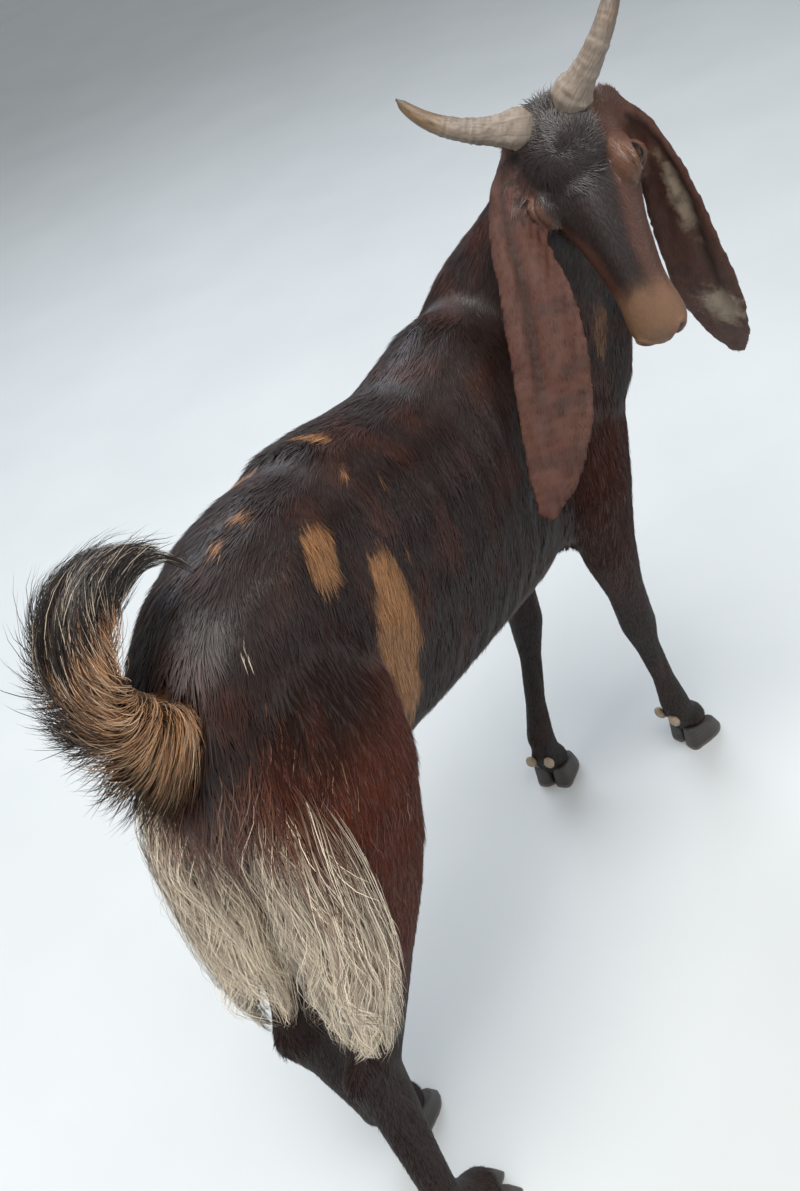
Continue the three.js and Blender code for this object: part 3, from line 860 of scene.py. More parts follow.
def corner_maps(mesh, region):
    """Gives each corner of the hide its place on its own region's map and on the hide's."""
    points = places(mesh)
    u, v = np.zeros(len(points)), np.zeros(len(points))
    corner = numbers(mesh.loops, "vertex_index", 1, np.int32)
    start = numbers(mesh.polygons, "loop_start", 1, np.int32)
    total = numbers(mesh.polygons, "loop_total", 1, np.int32)
    of_face = np.repeat(np.arange(len(total)), total)
    face_region = region[corner[start]]
    corner_u, corner_v = np.zeros(len(corner)), np.zeros(len(corner))
    bake = np.zeros((len(corner), 2))
    for i, name in enumerate(REGIONS):
        mine = face_region[of_face] == i
        used = np.unique(corner[mine])
        if not len(used):
            continue
        u[used], v[used] = unwrap(name, points[used])
        corner_u[mine], corner_v[mine] = u[corner[mine]], v[corner[mine]]
    highest = np.maximum.reduceat(corner_u, start)
    lowest = np.minimum.reduceat(corner_u, start)
    wraps = (highest - lowest > 0.5)[of_face]
    corner_u = np.where(wraps & (corner_u < 0.5), corner_u + 1, corner_u)
    for i, name in enumerate(REGIONS):
        left, bottom, width, height = ISLANDS[name]
        mine = face_region[of_face] == i
        bake[mine, 0] = left + corner_u[mine] / 1.04 * width
        bake[mine, 1] = bottom + corner_v[mine] * height
    for name, values in (("OFBake", bake), ("Region", np.column_stack((corner_u, corner_v)))):
        set_map(mesh, name, values)
    store(mesh, "region", region)


# ---------------------------------------------------------------- the lie of the coat
WHORL = np.array((-3.0, -50.0))  # on the forehead, where the hair of the face parts, in the head's axes


HORN_FOOT = (32, -10, 2)  # the middle of the left horn's foot, in the head's axes
HORN_OUT = (0.814, 0.342, 0.470)  # the way that the hair lies there


def head_lie(head):
    """Which way the hair of the head lies: back on the cheeks, down the nose, and round the whorl."""
    zero, one = np.zeros(len(head)), np.ones(len(head))
    away = head[:, :2] - WHORL
    far = np.linalg.norm(away, axis=1, keepdims=True)
    swirl = unit(away) + np.column_stack((-away[:, 1], away[:, 0])) / np.maximum(far, 1) * 0.8
    down = np.column_stack((head[:, 0] * 0.006, -one, -0.1 * one))
    cheek = np.column_stack((zero, 0.9 * one, -0.5 * one))
    top = ease(-26, -8, head[:, 2])[:, None]
    flow = between(cheek, down, top)
    behind = (head[:, 1] > WHORL[1] + 14)[:, None] & (top > 0.5)
    flow = np.where(behind, np.column_stack((head[:, 0] * 0.02, one, zero)), flow)
    near_whorl = ((1 - ease(20, 52, far[:, 0])) * top[:, 0])[:, None]
    flow = between(flow, np.column_stack((swirl, zero)), near_whorl)
    for s in (-1, 1):
        mirror = np.array((s, 1, 1))
        near_horn = 1 - ease(24, 34, np.linalg.norm(head - HORN_FOOT * mirror, axis=1))[:, None]
        flow = between(flow, HORN_OUT * mirror, near_horn)
    return flow @ HEAD_AXES.T


def hair_lie(points, facing, region, net):
    """Which way the hair lies at each point of the hide."""
    side = ease(0.15, 0.75, np.abs(facing[:, 0]))[:, None]
    front = ease(0.35, 0.8, -facing[:, 1])[:, None]
    rear = ease(0.3, 0.8, facing[:, 1])[:, None]
    back = between(np.array((0, 1.0, 0.0)), np.array((0, 0.55, -1.0)), side)
    back = between(between(back, np.array((0, 0.1, -1.0)), front), np.array((0, 0.1, -1.0)), rear)
    lie = np.where((region == TRUNK)[:, None], back, (0, 0.25, -1))
    for name in ("neck", "dock", *EARS):
        on = region == REGIONS.index(name)
        line = region_line(name)[0]
        along = unit(np.gradient(line, axis=0))[nearest(points[on], line)]
        lie[on] = -along + (0, 0.1, -0.35) if name == "neck" else along
    lie[region == HEAD] = head_lie(body_to_head(points[region == HEAD]))
    for _ in range(12):
        lie = net.mean(unit(lie - facing * (lie * facing).sum(1, keepdims=True)))
    return unit(lie - facing * (lie * facing).sum(1, keepdims=True))


def hair_length(points, facing, region, sizes):
    """How long the hair is at each point of the hide, in mm."""
    names = ("back_hair", "leg_hair", "face_hair", "forelock", "ear_hair")
    back, leg, cheek, fore, ear = (1000 * getattr(sizes, name) for name in names)
    length = np.full(len(points), back)
    length += 4 * (region == TRUNK) * ease(0.8, 1, facing[:, 2])
    length -= 2.5 * (region == NECK)
    legs = np.isin(region, LEG_REGIONS)
    length = np.where(legs, leg + (back - leg) * ease(300, 560, points[:, 2]), length)
    hind = np.isin(region, HIND_REGIONS) & (points[:, 2] < 400)
    length += hind * 6 * ease(110, 170, points[:, 2]) * ease(0.2, 0.8, facing[:, 1])
    breech = ((region == TRUNK) | legs) & (points[:, 1] > 200)
    length += breech * 15 * ease(230, 320, points[:, 1]) * ease(520, 600, points[:, 2])
    head = body_to_head(points)
    top = ease(-24, -4, head[:, 2]) * (1 - ease(22, 42, np.abs(head[:, 0])))
    short = cheek + (fore * 0.75 - cheek) * top * ease(-120, -80, head[:, 1])
    short += 3 * top * (1 - ease(-115, -80, head[:, 1])) * ease(-200, -150, head[:, 1])
    short -= (cheek - 3.4) * (1 - ease(-225, -190, head[:, 1]))
    jaw = ease(-30, -10, head[:, 1]) * ease(0, 30, -head[:, 2])
    short += 6 * jaw * (1 - top)
    length = np.where(region == HEAD, short, length)
    return np.where(np.isin(region, (EAR_LEFT, EAR_RIGHT)), ear, length)


# ---------------------------------------------------------------- markings
# Patches: middle, long direction, half length, half width and how much of the tan or cream shows.
TAN_PATCHES = (
    ((-2, 15, 779), (1, 0, -0.25), 25, 10, 1.0),
    ((-41, 45, 766), (-0.7, 0.3, -0.5), 9, 6, 1.0),
    ((-60, 24, 747), (0, 0.5, -1), 9, 6, 0.9),
    ((-7, 145, 791), (1, 0.3, 0), 13, 8, 0.8),
    ((-10, 184, 796), (-0.6, 1, -0.1), 13, 10, 0.9),
    ((-66, 141, 752), (-0.3, 0.75, -0.62), 33, 21, 1.0),
    ((-54, 117, 768), (-0.3, 0.75, -0.62), 9, 6, 0.9),
    ((-94, 116, 640), (0, 0.34, -0.94), 60, 36, 1.0),
    ((-88, 93, 694), (0, 0.3, -0.95), 34, 21, 1.0),
    ((-90, 130, 590), (0, 0.25, -0.97), 44, 25, 1.0),
    ((-86, 58, 692), (0, 0.4, -0.9), 12, 4, 0.9),
    ((-35, -150, 757), (0.3, 1, -0.3), 11, 4, 0.8),
    ((-124, -325, 688), (0, 0.3, -1), 34, 12, 0.55),
    # the left side, which has its own
    ((102, -20, 640), (0, 0.4, -0.9), 34, 15, 0.9),
    ((88, 170, 700), (0, 0.7, -0.7), 20, 11, 0.9),
    ((52, 70, 772), (0.3, 1, 0), 12, 7, 0.8),
    ((84, -210, 600), (0, 0.3, -1), 15, 6, 0.7),
)
CREAM_PATCHES = (((-58, 256, 752), (-0.3, 0.3, -0.9), 12, 7, 0.9),)


def in_patches(points, patches, ragged):
    """How much each point lies in any of the patches, whose edges are ragged."""
    most = np.zeros(len(points))
    for middle, direction, long, wide, amount in patches:
        rel = points - middle
        axis = unit(np.array(direction, float))
        run = rel @ axis
        rest = np.linalg.norm(rel - run[:, None] * axis, axis=1)
        away = np.sqrt((run / long) ** 2 + (rest / wide) ** 2)
        most = np.maximum(most, amount * (1 - ease(0.78, 1.12, away + ragged * (6 / (wide + 4)))))
    return most


# Pale patches of the left ear: place along it and across it, half length, half width and how cream.
EAR_PATCHES = ((0.33, 0.2, 0.14, 0.32, 0.42), (0.74, 0.2, 0.085, 0.6, 0.5))


def head_markings(head, ragged):
    """Brown cheeks, a dark bridge, a tan muzzle, and paler rings and lines by the eyes."""
    hx, hy, hz = head.T
    half = np.interp(hy, (-230, -150, -90, -40), (9, 15, 28, 35))
    half = half * np.where(hx < 0, 1 + 0.42 * ease(-150, -100, hy), 1)
    bridge = (1 - ease(-4, 8, np.abs(hx) - half)) * ease(-34, -12, hz)
    muzzle = 1 - ease(-216, -184, hy + ragged * 8 - 8 * hump(hx, 12))
    ring = hump(from_eyes(head) - 17, 9)
    paths = (((s * 40, -62, -8), (s * 50, -74, -3), (s * 55, -92, -6)) for s in (-1, 1))
    line = hump(np.minimum(*[groove(head, path, 3, 1)[1] for path in paths]), 3.5)
    horn_base = ball(head, (33, -12, 3), 26) * (hy < -6) + 0.4 * ball(head, (-33, -12, 3), 25)
    pale = (0.16 * ring * (1 - bridge) + 0.14 * line) * np.where(hx < 0, 0.35, 1)
    poll = ease(-42, 12, hy)
    return {
        "rust": 0.5 - 0.25 * poll,
        "brown": (0.9 - 0.9 * bridge) * (1 - poll),
        "tan": np.maximum.reduce((0.5 * muzzle, pale, 0.6 * horn_base)),
        "cream": 0.05 * muzzle,
        "black": 0.85 * bridge * (1 - muzzle),
    }


def ear_markings(points, name, ragged, tan):
    """Red-brown, with painted shade along the ear's deepest folds, and pale patches on the left one."""
    u, v = unwrap(name, points)
    c = np.where(u < 0.5, 1 - 4 * u, 4 * u - 3)
    brown = 0.78 - 0.25 * ease(0.2, 0.8, ripple(points, 50, 8))
    shown = {"rust": 0.75 + 0 * c, "brown": brown, "tan": tan, "cream": 0 * c}
    black = 0.3 * ease(0.1, 0.9, ripple(points, 42, 9)) + 0.25 * ease(0.3, 1.0, ripple(points, 15, 10))
    # painted shade: black laid along the ear's deepest folds, for the shade that lies in them
    for place, width, height in EARS[name]["folds"]:
        if height > 3:
            black = np.maximum(black, fold(c, v, place, width * 1.3, 0.6))
    for place, across, long, wide, much in EAR_PATCHES if name == "ear_left" else ():
        pale = 1 - ease(0.45, 1.15, np.hypot((v - place) / long, (c - across) / wide) + ragged * 0.5)
        shown["cream"] = np.maximum(shown["cream"], much * pale)
        shown["tan"] = np.maximum(shown["tan"], 0.5 * pale)
    return shown | {"black": black}


def markings(points, region):
    """How much of each colour shows over the dark coat: rust, brown, tan, cream, black."""
    ragged = ripple(points, 14, 3) * 0.35 + ripple(points, 5, 4) * 0.3
    broad = ripple(points, 120, 5)
    _, y, z = points.T
    legs = np.isin(region, LEG_REGIONS)
    hind = np.isin(region, HIND_REGIONS) | ((region == TRUNK) & (y > 150))
    rusts = (
        hind * (1 - ease(590, 670, z + broad * 22)),
        0.35 * (region == TRUNK) * (1 - ease(460, 520, z)),
        0.5 * (legs & ~hind) * ease(250, 420, z) * (1 - ease(560, 640, z)),
        0.35 * (region == NECK) * ease(0, 1, ripple(points, 60, 6)),
        0.25 * ease(0.1, 0.9, ripple(points, 70, 7)),
    )
    black = legs * (1 - ease(300, 430, z + broad * 20)) * np.where(hind, 0.9, 0.45)
    # painted shade: black over the belly, the lower chest and the forelegs, partly their own darker coat and
    # partly the shade under the body
    below = 0.45 * (~hind & (region != HEAD)) * (1 - ease(470, 600, z + broad * 20))
    shown = {
        "rust": np.maximum.reduce(rusts),
        "brown": np.zeros(len(points)),
        "tan": in_patches(points, TAN_PATCHES, ragged),
        "cream": in_patches(points, CREAM_PATCHES, ragged),
        "black": np.maximum(black, below),
    }
    on = region == HEAD
    for name, values in head_markings(body_to_head(points[on]), ragged[on]).items():
        shown[name][on] = values
    for number in (EAR_LEFT, EAR_RIGHT):
        on = region == number
        found = ear_markings(points[on], REGIONS[number], ragged[on], shown["tan"][on])
        for name, values in found.items():
            shown[name][on] = values
    dock = region == DOCK
    shown["tan"][dock] = 0.7 * (1 - ease(760, 800, z[dock]))
    shown["black"][dock] = 0.8 * ease(740, 790, z[dock])
    return shown


# ---------------------------------------------------------------- tufts and locks
def spikes(name, paths, up, width, taper, flat, masks, shade, uv, soft=0.7):
    """Joins many tapering three-sided spikes into one mesh.

    The paths are the spikes' middle lines, up is the side that shows, width is how wide they are at most,
    taper the share of that at each section, flat how high against it, and soft how far the shading takes
    after the up side.
    """
    n, k, _ = paths.shape
    tangent = unit(np.gradient(paths, axis=1))
    top = unit(up[:, None] - tangent * (up[:, None] * tangent).sum(2, keepdims=True))
    side = np.cross(tangent, top)
    half = (width[:, None] * taper[None] / 2)[..., None]
    left, right, ridge = paths + side * half, paths - side * half, paths + top * half * 2 * flat
    body = np.stack((left, right, ridge), axis=2)[:, :-1].reshape(n, -1, 3)
    points = np.concatenate((body, paths[:, -1:]), axis=1)
    face_out = unit(top * (1 - soft) + up[:, None] * soft)
    lean = 0.55
    around = np.stack((face_out + side * lean, face_out - side * lean, face_out), axis=2)
    normals = unit(np.concatenate((around[:, :-1].reshape(n, -1, 3), face_out[:, -1:]), axis=1))
    per = 3 * (k - 1) + 1
    sides = ((0, 1), (1, 2), (2, 0))
    one = [(2, 1, 0)]
    for a in range(0, per - 4, 3):
        for p, q in sides:
            one += [(a + p, a + q, a + q + 3), (a + p, a + q + 3, a + p + 3)]
    one = np.array(one + [(per - 4 + p, per - 4 + q, per - 1) for p, q in sides])
    # left, right and ridge run anticlockwise seen from the tip, so that the faces look out
    corners = (one[None] + (np.arange(n) * per)[:, None, None]).reshape(-1)
    mesh = bpy.data.meshes.new(name)
    mesh.vertices.add(n * per)
    move_points(mesh, points.reshape(-1, 3))
    mesh.loops.add(len(corners))
    mesh.loops.foreach_set("vertex_index", corners.astype(np.int32))
    mesh.polygons.add(len(corners) // 3)
    mesh.polygons.foreach_set("loop_start", np.arange(0, len(corners), 3, dtype=np.int32))
    mesh.polygons.foreach_set("use_smooth", np.ones(len(corners) // 3, bool))
    mesh.update(calc_edges=True)
    steps = np.linspace(0, 1, k)
    along = np.append(np.repeat(steps[:-1], 3), 1.0)
    store(mesh, "along", np.tile(along, n))
    store(mesh, "shade", np.repeat(shade, per))
    for mask, values in masks.items():
        values = np.broadcast_to(values.reshape(n, -1), (n, k))
        spread = np.concatenate((np.repeat(values[:, :-1], 3, axis=1), values[:, -1:]), axis=1)
        store(mesh, mask, spread.ravel())
    across = np.append(np.tile((-1, 1, 0), k - 1), 0)
    patch = np.column_stack((across, along * 2 - 1)) * 0.0015
    spot = np.clip(uv, 0.002, 0.998)[:, None] + patch[None]
    set_map(mesh, "OFBake", spot.reshape(-1, 2)[corners])
    mesh.normals_split_custom_set_from_vertices(normals.reshape(-1, 3).astype(np.float32))
    return mesh


def roots_on(mesh, density, count, rng):
    """Places on the hide for count tufts, as triangle corners and their weights."""
    mesh.calc_loop_triangles()
    corners = numbers(mesh.loop_triangles, "loops", 3, np.int32)
    points = numbers(mesh.loop_triangles, "vertices", 3, np.int32)
    co = places(mesh)
    a, b, c = (co[points[:, i]] for i in range(3))
    area = np.linalg.norm(np.cross(b - a, c - a), axis=1) * density[points].mean(1)
    total = np.cumsum(area)
    spot = (np.arange(count) + rng.random(count)) / count * total[-1]
    chosen = np.minimum(np.searchsorted(total, spot), len(total) - 1)
    u, v = rng.random((2, count))
    u, v = np.where(u + v > 1, 1 - u, u), np.where(u + v > 1, 1 - v, v)
    return points[chosen], corners[chosen], np.column_stack((1 - u - v, u, v))


class Roots:
    """Random places on the hide for count tufts, more of them where density is high."""

    def __init__(self, mesh, density, count, rng):
        self.mesh = mesh
        self.points, corners, self.weights = roots_on(mesh, density, count, rng)
        self.place = self.of(places(mesh))
        self.up = unit(self.of(facings(mesh)))
        self.lie = unit(self.of(stored(mesh, "lie", 3)))
        self.masks = {name: self.of(stored(mesh, name)) for name in MASKS}
        place = numbers(mesh.uv_layers["Region"].uv, "vector", 2)[corners]
        self.seat = (place * self.weights[..., None]).sum(1)
        self.seat[:, 0] %= 1.0

    def of(self, values):
        """Values on the hide's points, at these roots."""
        picked = values[self.points]
        return (picked * (self.weights[..., None] if picked.ndim == 3 else self.weights)).sum(1)


# Share of the short coat's tufts, the regions, and the side that each coat piece has.
COAT_PIECES = {
    "coat_trunk_left": (0.205, ("trunk", "dock"), 1),
    "coat_trunk_right": (0.205, ("trunk", "dock"), -1),
    "coat_neck": (0.11, ("neck",), 0),
    "coat_head": (0.11, ("head",), 0),
    "coat_ear_left": (0.045, ("ear_left",), 0),
    "coat_ear_right": (0.045, ("ear_right",), 0),
    **{f"coat_{leg}": (0.06 if "fore" in leg else 0.08, (leg,), 0) for leg in LEGS},
}


def coat_piece(hide, name, count, regions, half, seed):
    """Short tufts that lie along the hide over some of its regions."""
    rng = np.random.default_rng(seed)
    mesh = hide.data
    length_at = stored(mesh, "length")
    region = stored(mesh, "region").round().astype(int)
    density = np.isin(region, [REGIONS.index(r) for r in regions]) * stored(mesh, "cover")
    if half:
        density = density * (half * (places(mesh)[:, 0] - 3) > 0)
    roots = Roots(mesh, density / np.maximum(length_at, 4) ** 0.8, count, rng)
    root, up, masks = roots.place, roots.up, roots.masks
    length = roots.of(length_at) * rng.uniform(0.7, 1.2, count)
    sway = ripple(root, 26, 11) * 0.2 + ripple(root, 11, 13) * 0.13 + rng.normal(0, 0.1, count)
    way = unit(roots.lie + np.cross(up, roots.lie) * sway[:, None])
    lift = 0.075 + 0.035 * ripple(root, 9, 12) + rng.normal(0, 0.022, count)
    lift = np.clip(lift * (0.6 if "ear" in name else 1.0), 0.01, 0.3) * length
    paths = np.stack((root - up * 0.4, root + way * length[:, None] + up * lift[:, None]), axis=1)
    # whole tufts are tan or cream at the ragged edges of the body's patches
    for mask in ("tan", "cream") if regions[0] in ("trunk", "neck") else ():
        shown = ease(0.3, 0.7, masks[mask] + rng.normal(0, 0.12, count)) * (masks[mask] > 0.08)
        masks[mask] = shown * np.maximum(masks[mask], 0.6)
    width = (0.42 + length * 0.053) * rng.uniform(0.7, 1.3, count)
    taper, shade = np.array((1.0, 0)), rng.random(count)
    return put(name, spikes(name, paths, up, width, taper, 0.3, masks, shade, roots.seat))


# ---------------------------------------------------------------- materials
def coat_colour(tree, colours):
    """The coat's colour: the dark coat, with each marking laid over it."""
    return laid_over(tree, colours.dark, *((name, getattr(colours, name)) for name in MASKS))


WARMER = (1.25, 1.0, 0.86)


def hair_material(name, colours, roots=0.45, tips=1.25, roughness=0.42, gloss=0.4):
    """Hair, grown: each tuft is darker at its root and lighter at its tip, and no two are quite alike."""
    material, tree = blank_material(name)
    run = node(tree, "MapRange", {"Value": "along"}, To_Min=roots, To_Max=tips)
    each = node(tree, "MapRange", {"Value": "shade"}, To_Min=0.62, To_Max=1.42)
    bright = node(tree, "Math", {0: run, 1: each}, operation="MULTIPLY")
    shown = laid_over(tree, coat_colour(tree, colours), (1.0, bright, "MULTIPLY"))
    # soft blotches 40 mm across, as coat of one colour still has
    spots = node(tree, "TexNoise", {"Vector": node(tree, "TexCoord", out="Object")}, Scale=25.0, Detail=3.0)
    warm = node(tree, "MapRange", {"Value": spots}, To_Min=0.0, To_Max=0.35)
    shown = laid_over(tree, shown, (warm, laid_over(tree, shown, (1.0, WARMER, "MULTIPLY"))))
    surface = {"Base Color": shown, "Roughness": roughness, "IOR": 1.55, "Specular IOR Level": gloss}
    surface = node(tree, "BsdfPrincipled", surface | {"Sheen Weight": 0.04, "Sheen Roughness": 0.4})
    node(tree, "OutputMaterial", {"Surface": surface})
    return material


def hide_material(colours):
    """Haired hide, grown: the coat's roots as fine streaks along it, bare skin at lids and lips, and painted
    shade in the nostrils and the mouth's line.
    """
    material, tree = blank_material("hide_haired")
    # streaks about 1 mm wide and 12 mm long on the barrel
    place = node(tree, "Mapping", {"Vector": node(tree, "UVMap", uv_map="Region"), "Scale": (420, 60, 1)})
    streaks = node(tree, "TexNoise", {"Vector": place}, Scale=1.0, Detail=4.0, Roughness=0.6)
    tone = node(tree, "MapRange", {"Value": streaks}, To_Min=0.45, To_Max=1.15)
    # painted shade: near-black laid where the nostrils and the mouth's line sink, for the shade in those
    # hollows
    layers = ((0.8, tone, "MULTIPLY"), ("bare", colours.skin), ("painted_hole_shade", linear("#140c0a")))
    shown = laid_over(tree, coat_colour(tree, colours), *layers)
    pores = node(tree, "TexNoise", {"Vector": node(tree, "TexCoord", out="Object")}, Scale=900.0, Detail=2.0)
    height = laid_over(tree, streaks, ("bare", pores))
    bumps = node(tree, "Bump", {"Height": height}, Strength=0.5, Distance=0.0012)
    rough = node(tree, "MapRange", {"Value": "bare"}, To_Min=0.6, To_Max=0.42)
    surface = {"Base Color": shown, "Normal": bumps, "Roughness": rough, "IOR": 1.45}
    node(tree, "OutputMaterial", {"Surface": node(tree, "BsdfPrincipled", surface)})
    return material


# ---------------------------------------------------------------- operators
# Where the hide is smoothed more: middle, reach and how much, under ears and horns, in the head's axes.
SOFT_ROOTS = tuple(
    ((s * x, y, z), reach, 0.2) for s in (-1, 1) for x, y, z, reach in ((48, -14, -38, 24), (32, -12, 2, 20))
)
# Fewer tufts where the right ear leaves the skull, and on the brow below it.
THIN_COAT = (((-54, -40, -26), 24, 0.8), ((-48, -66, -4), 20, 0.5))


def root_softness(points):
    """How much more the hide is smoothed at ears, horns, and the fold where neck and left shoulder meet."""
    head = body_to_head(points)
    fold_there = 0.3 * ball(points, (53, -315, 665), 60)
    return np.maximum.reduce([fold_there] + [much * ball(head, *place) for *place, much in SOFT_ROOTS])


def smooth_skin(mesh, label, spots):
    """Smooths the hide, sets it inside the coat, and raises bone and muscle on it."""
    points = places(mesh)
    region = label[nearest(points, spots)]
    net = Net(mesh)
    weight = np.choose(region, SMOOTHING)
    weight = np.minimum(net.smooth(weight, 10), weight + 0.15) + root_softness(points)
    smoothed = net.smooth(points, 70, 0.5 * weight)
    facing = facings(mesh)
    lost = net.smooth(((points - smoothed) * facing).sum(1), 60)
    points = smoothed + facing * (lost * ease(0.1, 0.6, weight))[:, None]
    move_points(mesh, points)
    depth = coat_depth(points, region)
    depth = net.smooth(depth + np.where(depth > 0, OVERLAP, 0), 12)
    facing = facings(mesh)
    points = points - facing * depth[:, None]
    body = np.isin(region, (TRUNK, *LEG_REGIONS))
    lift = relief(points, RELIEF) * net.smooth(body.astype(float), 8) + ribs(points, facing) * body
    lift += net.smooth(leg_relief(points, region), 2)
    move_points(mesh, net.smooth(points + facing * lift[:, None], 2, 0.4))


def draw_details(mesh, label, spots):
    """Draws the face and the wrinkles of the ears on a finer mesh, and gives its regions and edges."""
    refine(mesh, fine_face, 2)
    points = places(mesh)
    net = Net(mesh)
    region = label[nearest(points, spots)]
    move_points(mesh, face(points, facings(mesh), region == HEAD))
    points, facing = places(mesh), facings(mesh)
    ears = net.smooth(np.isin(region, (EAR_LEFT, EAR_RIGHT)).astype(float), 4)
    wrinkles = 0.5 * ripple(points * (1, 1, 0.45), 20, 91) + 0.3 * ripple(points * (1, 1, 0.6), 8, 92)
    move_points(mesh, points + facing * (wrinkles * ears)[:, None])
    return region, net, facing


def keep_coat_plan(mesh, region, net, facing, sizes):
    """Keeps on the hide what the coat and the materials need: lie, length, markings, bareness, the painted
    shade of nostrils and mouth, and cover.
    """
    points = places(mesh)
    store(mesh, "lie", hair_lie(points, facing, region, net), "FLOAT_VECTOR")
    store(mesh, "length", net.smooth(hair_length(points, facing, region, sizes), 6))
    for name, values in markings(points, region).items():
        store(mesh, name, values)
    bare = bare_skin(points, region)
    store(mesh, "bare", bare)
    head = body_to_head(points)
    # painted shade: how much near-black the nostrils and the mouth's line get, for the shade inside them
    holes = np.minimum(nostril(head, 1)[1], nostril(head, -1)[1])
    mouth, open_here = above_mouth(head)
    dark = np.maximum(1 - ease(0.9, 2.4, holes), 0.8 * open_here * hump(mouth, 0.8))
    store(mesh, "painted_hole_shade", dark * (region == HEAD))
    cover = (1 - ease(0.2, 0.7, bare)) * (points[:, 2] > 20)
    for *place, less in THIN_COAT:
        cover = cover * (1 - less * ball(head, *place))
    store(mesh, "cover", cover)


class GOAT_OT_hide(bpy.types.Operator):
    """Make the hide as one skin inside the solids of flesh"""

    bl_idname = "goat.hide"
    bl_label = "Hide"

    def execute(self, context):
        sizes = context.scene.goat_sizes
        rng = np.random.default_rng(1)
        forms = hide_forms()
        hide = one_skin(forms, sizes.voxel)
        mesh = hide.data
        samples = [spots_on(points, faces, 6, rng) for _, points, faces in forms]
        label = np.repeat([i for i, _, _ in forms], [len(spots) for spots in samples])
        spots = np.vstack(samples)
        smooth_skin(mesh, label, spots)
        region, net, facing = draw_details(mesh, label, spots)
        corner_maps(mesh, region)
        keep_coat_plan(mesh, region, net, facing, sizes)
        mesh.shade_smooth()
        material = hide_material(context.scene.goat_colours)
        settle(hide, material, "coat", "trunk", "neck", "head", *EARS, *LEGS)
        return {"FINISHED"}


def bare_skin(points, region):
    """How bare the hide is: the rims of the lids, the nostrils and the lips' edges."""
    head = body_to_head(points)
    above, open_here = above_mouth(head)
    bare = 0.9 * hump(above, 1.7) * open_here
    bare = np.maximum(bare, 0.85 * np.exp(-(((head - (0, -256, -51)) / (6.5, 9, 9)) ** 4).sum(1)))
    for s in (-1, 1):
        _, _, _, z, e = from_eye(head, s)
        bare = np.maximum(bare, (1 - ease(1.1, 1.4, e)) * (z > 0))
        bare = np.maximum(bare, 1 - ease(3.0, 4.6, nostril(head, s)[1]))
    return bare * (region == HEAD)


class GOAT_OT_coat(bpy.types.Operator):
    """Lay the short coat over the hide"""

    bl_idname = "goat.coat"
    bl_label = "Short coat"

    def execute(self, context):
        hide = bpy.data.objects["hide"]
        colours = context.scene.goat_colours
        hair = hair_material("goat_hair_grown", colours)
        kinds = {
            "ear": (hair_material("goat_fine_hair_grown", colours, 0.62, 0.92, 0.6, 0.2), "ear_coat"),
            "head": (hair_material("goat_face_hair_grown", colours, 0.5, 1.25, 0.42, 0.85), "face_coat"),
            "leg": (hair_material("goat_leg_hair_grown", colours, 0.45, 1.15, 0.5, 0.1), "coat"),
        }
        count = context.scene.goat_sizes.tufts * 1
        for seed, (name, (share, regions, half)) in enumerate(COAT_PIECES.items()):
            piece = coat_piece(hide, name, int(count * share), regions, half, 100 + seed)
            kind, slot = next((kinds[k] for k in kinds if k in name), (hair, "coat"))
            settle(piece, kind, slot)
        return {"FINISHED"}


def rooted_locks(name, roots, length, start, end, sections, width, wave, seed, rng, colour=None):
    """Locks longer than the short coat, that set out from the hide one way and end another, waving.

    The markings of the hide run on along them, unless colour changes these.
    """
    root, up, count = roots.place, roots.up, len(roots.place)
    size = length * rng.uniform(0.65, 1.15, count)
    s = np.linspace(0, 1, sections)[None]
    sway = (ripple(root, 30, seed) * 0.25 + rng.normal(0, 0.12, count))[:, None]
    across = np.cross(up, start)
    start, end = unit(start + across * sway)[:, None], unit(end + across * sway * 0.6)[:, None]
    step = unit(between(start, end, s[..., None])) * (size / (sections - 1))[:, None, None]
    paths = root[:, None] - up[:, None] * 0.5 + np.cumsum(step, axis=1) - step[:, :1]
    phase = (ripple(root, 18, seed + 1) * 3 + rng.normal(0, 0.4, count))[:, None]
    paths += across[:, None] * (np.sin(phase + s * 7) * wave * s)[..., None]
    masks = {mask: values[:, None] * np.ones((1, sections)) for mask, values in roots.masks.items()}
    if colour:
        colour(masks, s, rng.random((count, 1)))
    taper = np.minimum(1, 0.6 + s[0] * 3) * (1 - s[0] ** 2) ** 0.8
    width, shade = width * rng.uniform(0.7, 1.3, count), rng.random(count)
    return put(name, spikes(name, paths, up, width, taper, 0.35, masks, shade, roots.seat, soft=0.45))


class GOAT_OT_overhair(bpy.types.Operator):
    """Make the longer hair of the haunches and the forelock"""

    bl_idname = "goat.overhair"
    bl_label = "Haunches and forelock"

    def execute(self, context):
        mesh = bpy.data.objects["hide"].data
        colours, sizes = context.scene.goat_colours, context.scene.goat_sizes
        points, region = places(mesh), stored(mesh, "region").round().astype(int)
        hair = hair_material("goat_over_hair_grown", colours, 0.6, 1.25, 0.42)
        settle(haunch_hair(mesh, points, region), hair, "coat")
        crown = hair_material("goat_forelock_grown", colours, 0.35, 1.4, 0.38, 0.65)
        settle(forelock(mesh, points, region, 1000 * sizes.forelock), crown, "coat")
        return {"FINISHED"}


def haunch_colour(masks, s, kind):
    """Rust, with a share of tan, cream, brown and black locks."""
    masks["rust"][:] = 1.0
    masks["tan"][:] = np.where(kind < 0.22, 0.45 * s, 0.08 * s**2)
    masks["cream"][:] = np.where(kind < 0.1, 0.3 * s, 0)
    masks["brown"][:] = np.where(kind > 0.7, 0.5, 0.1)
    masks["black"][:] = np.where(kind > 0.9, 0.4, 0)


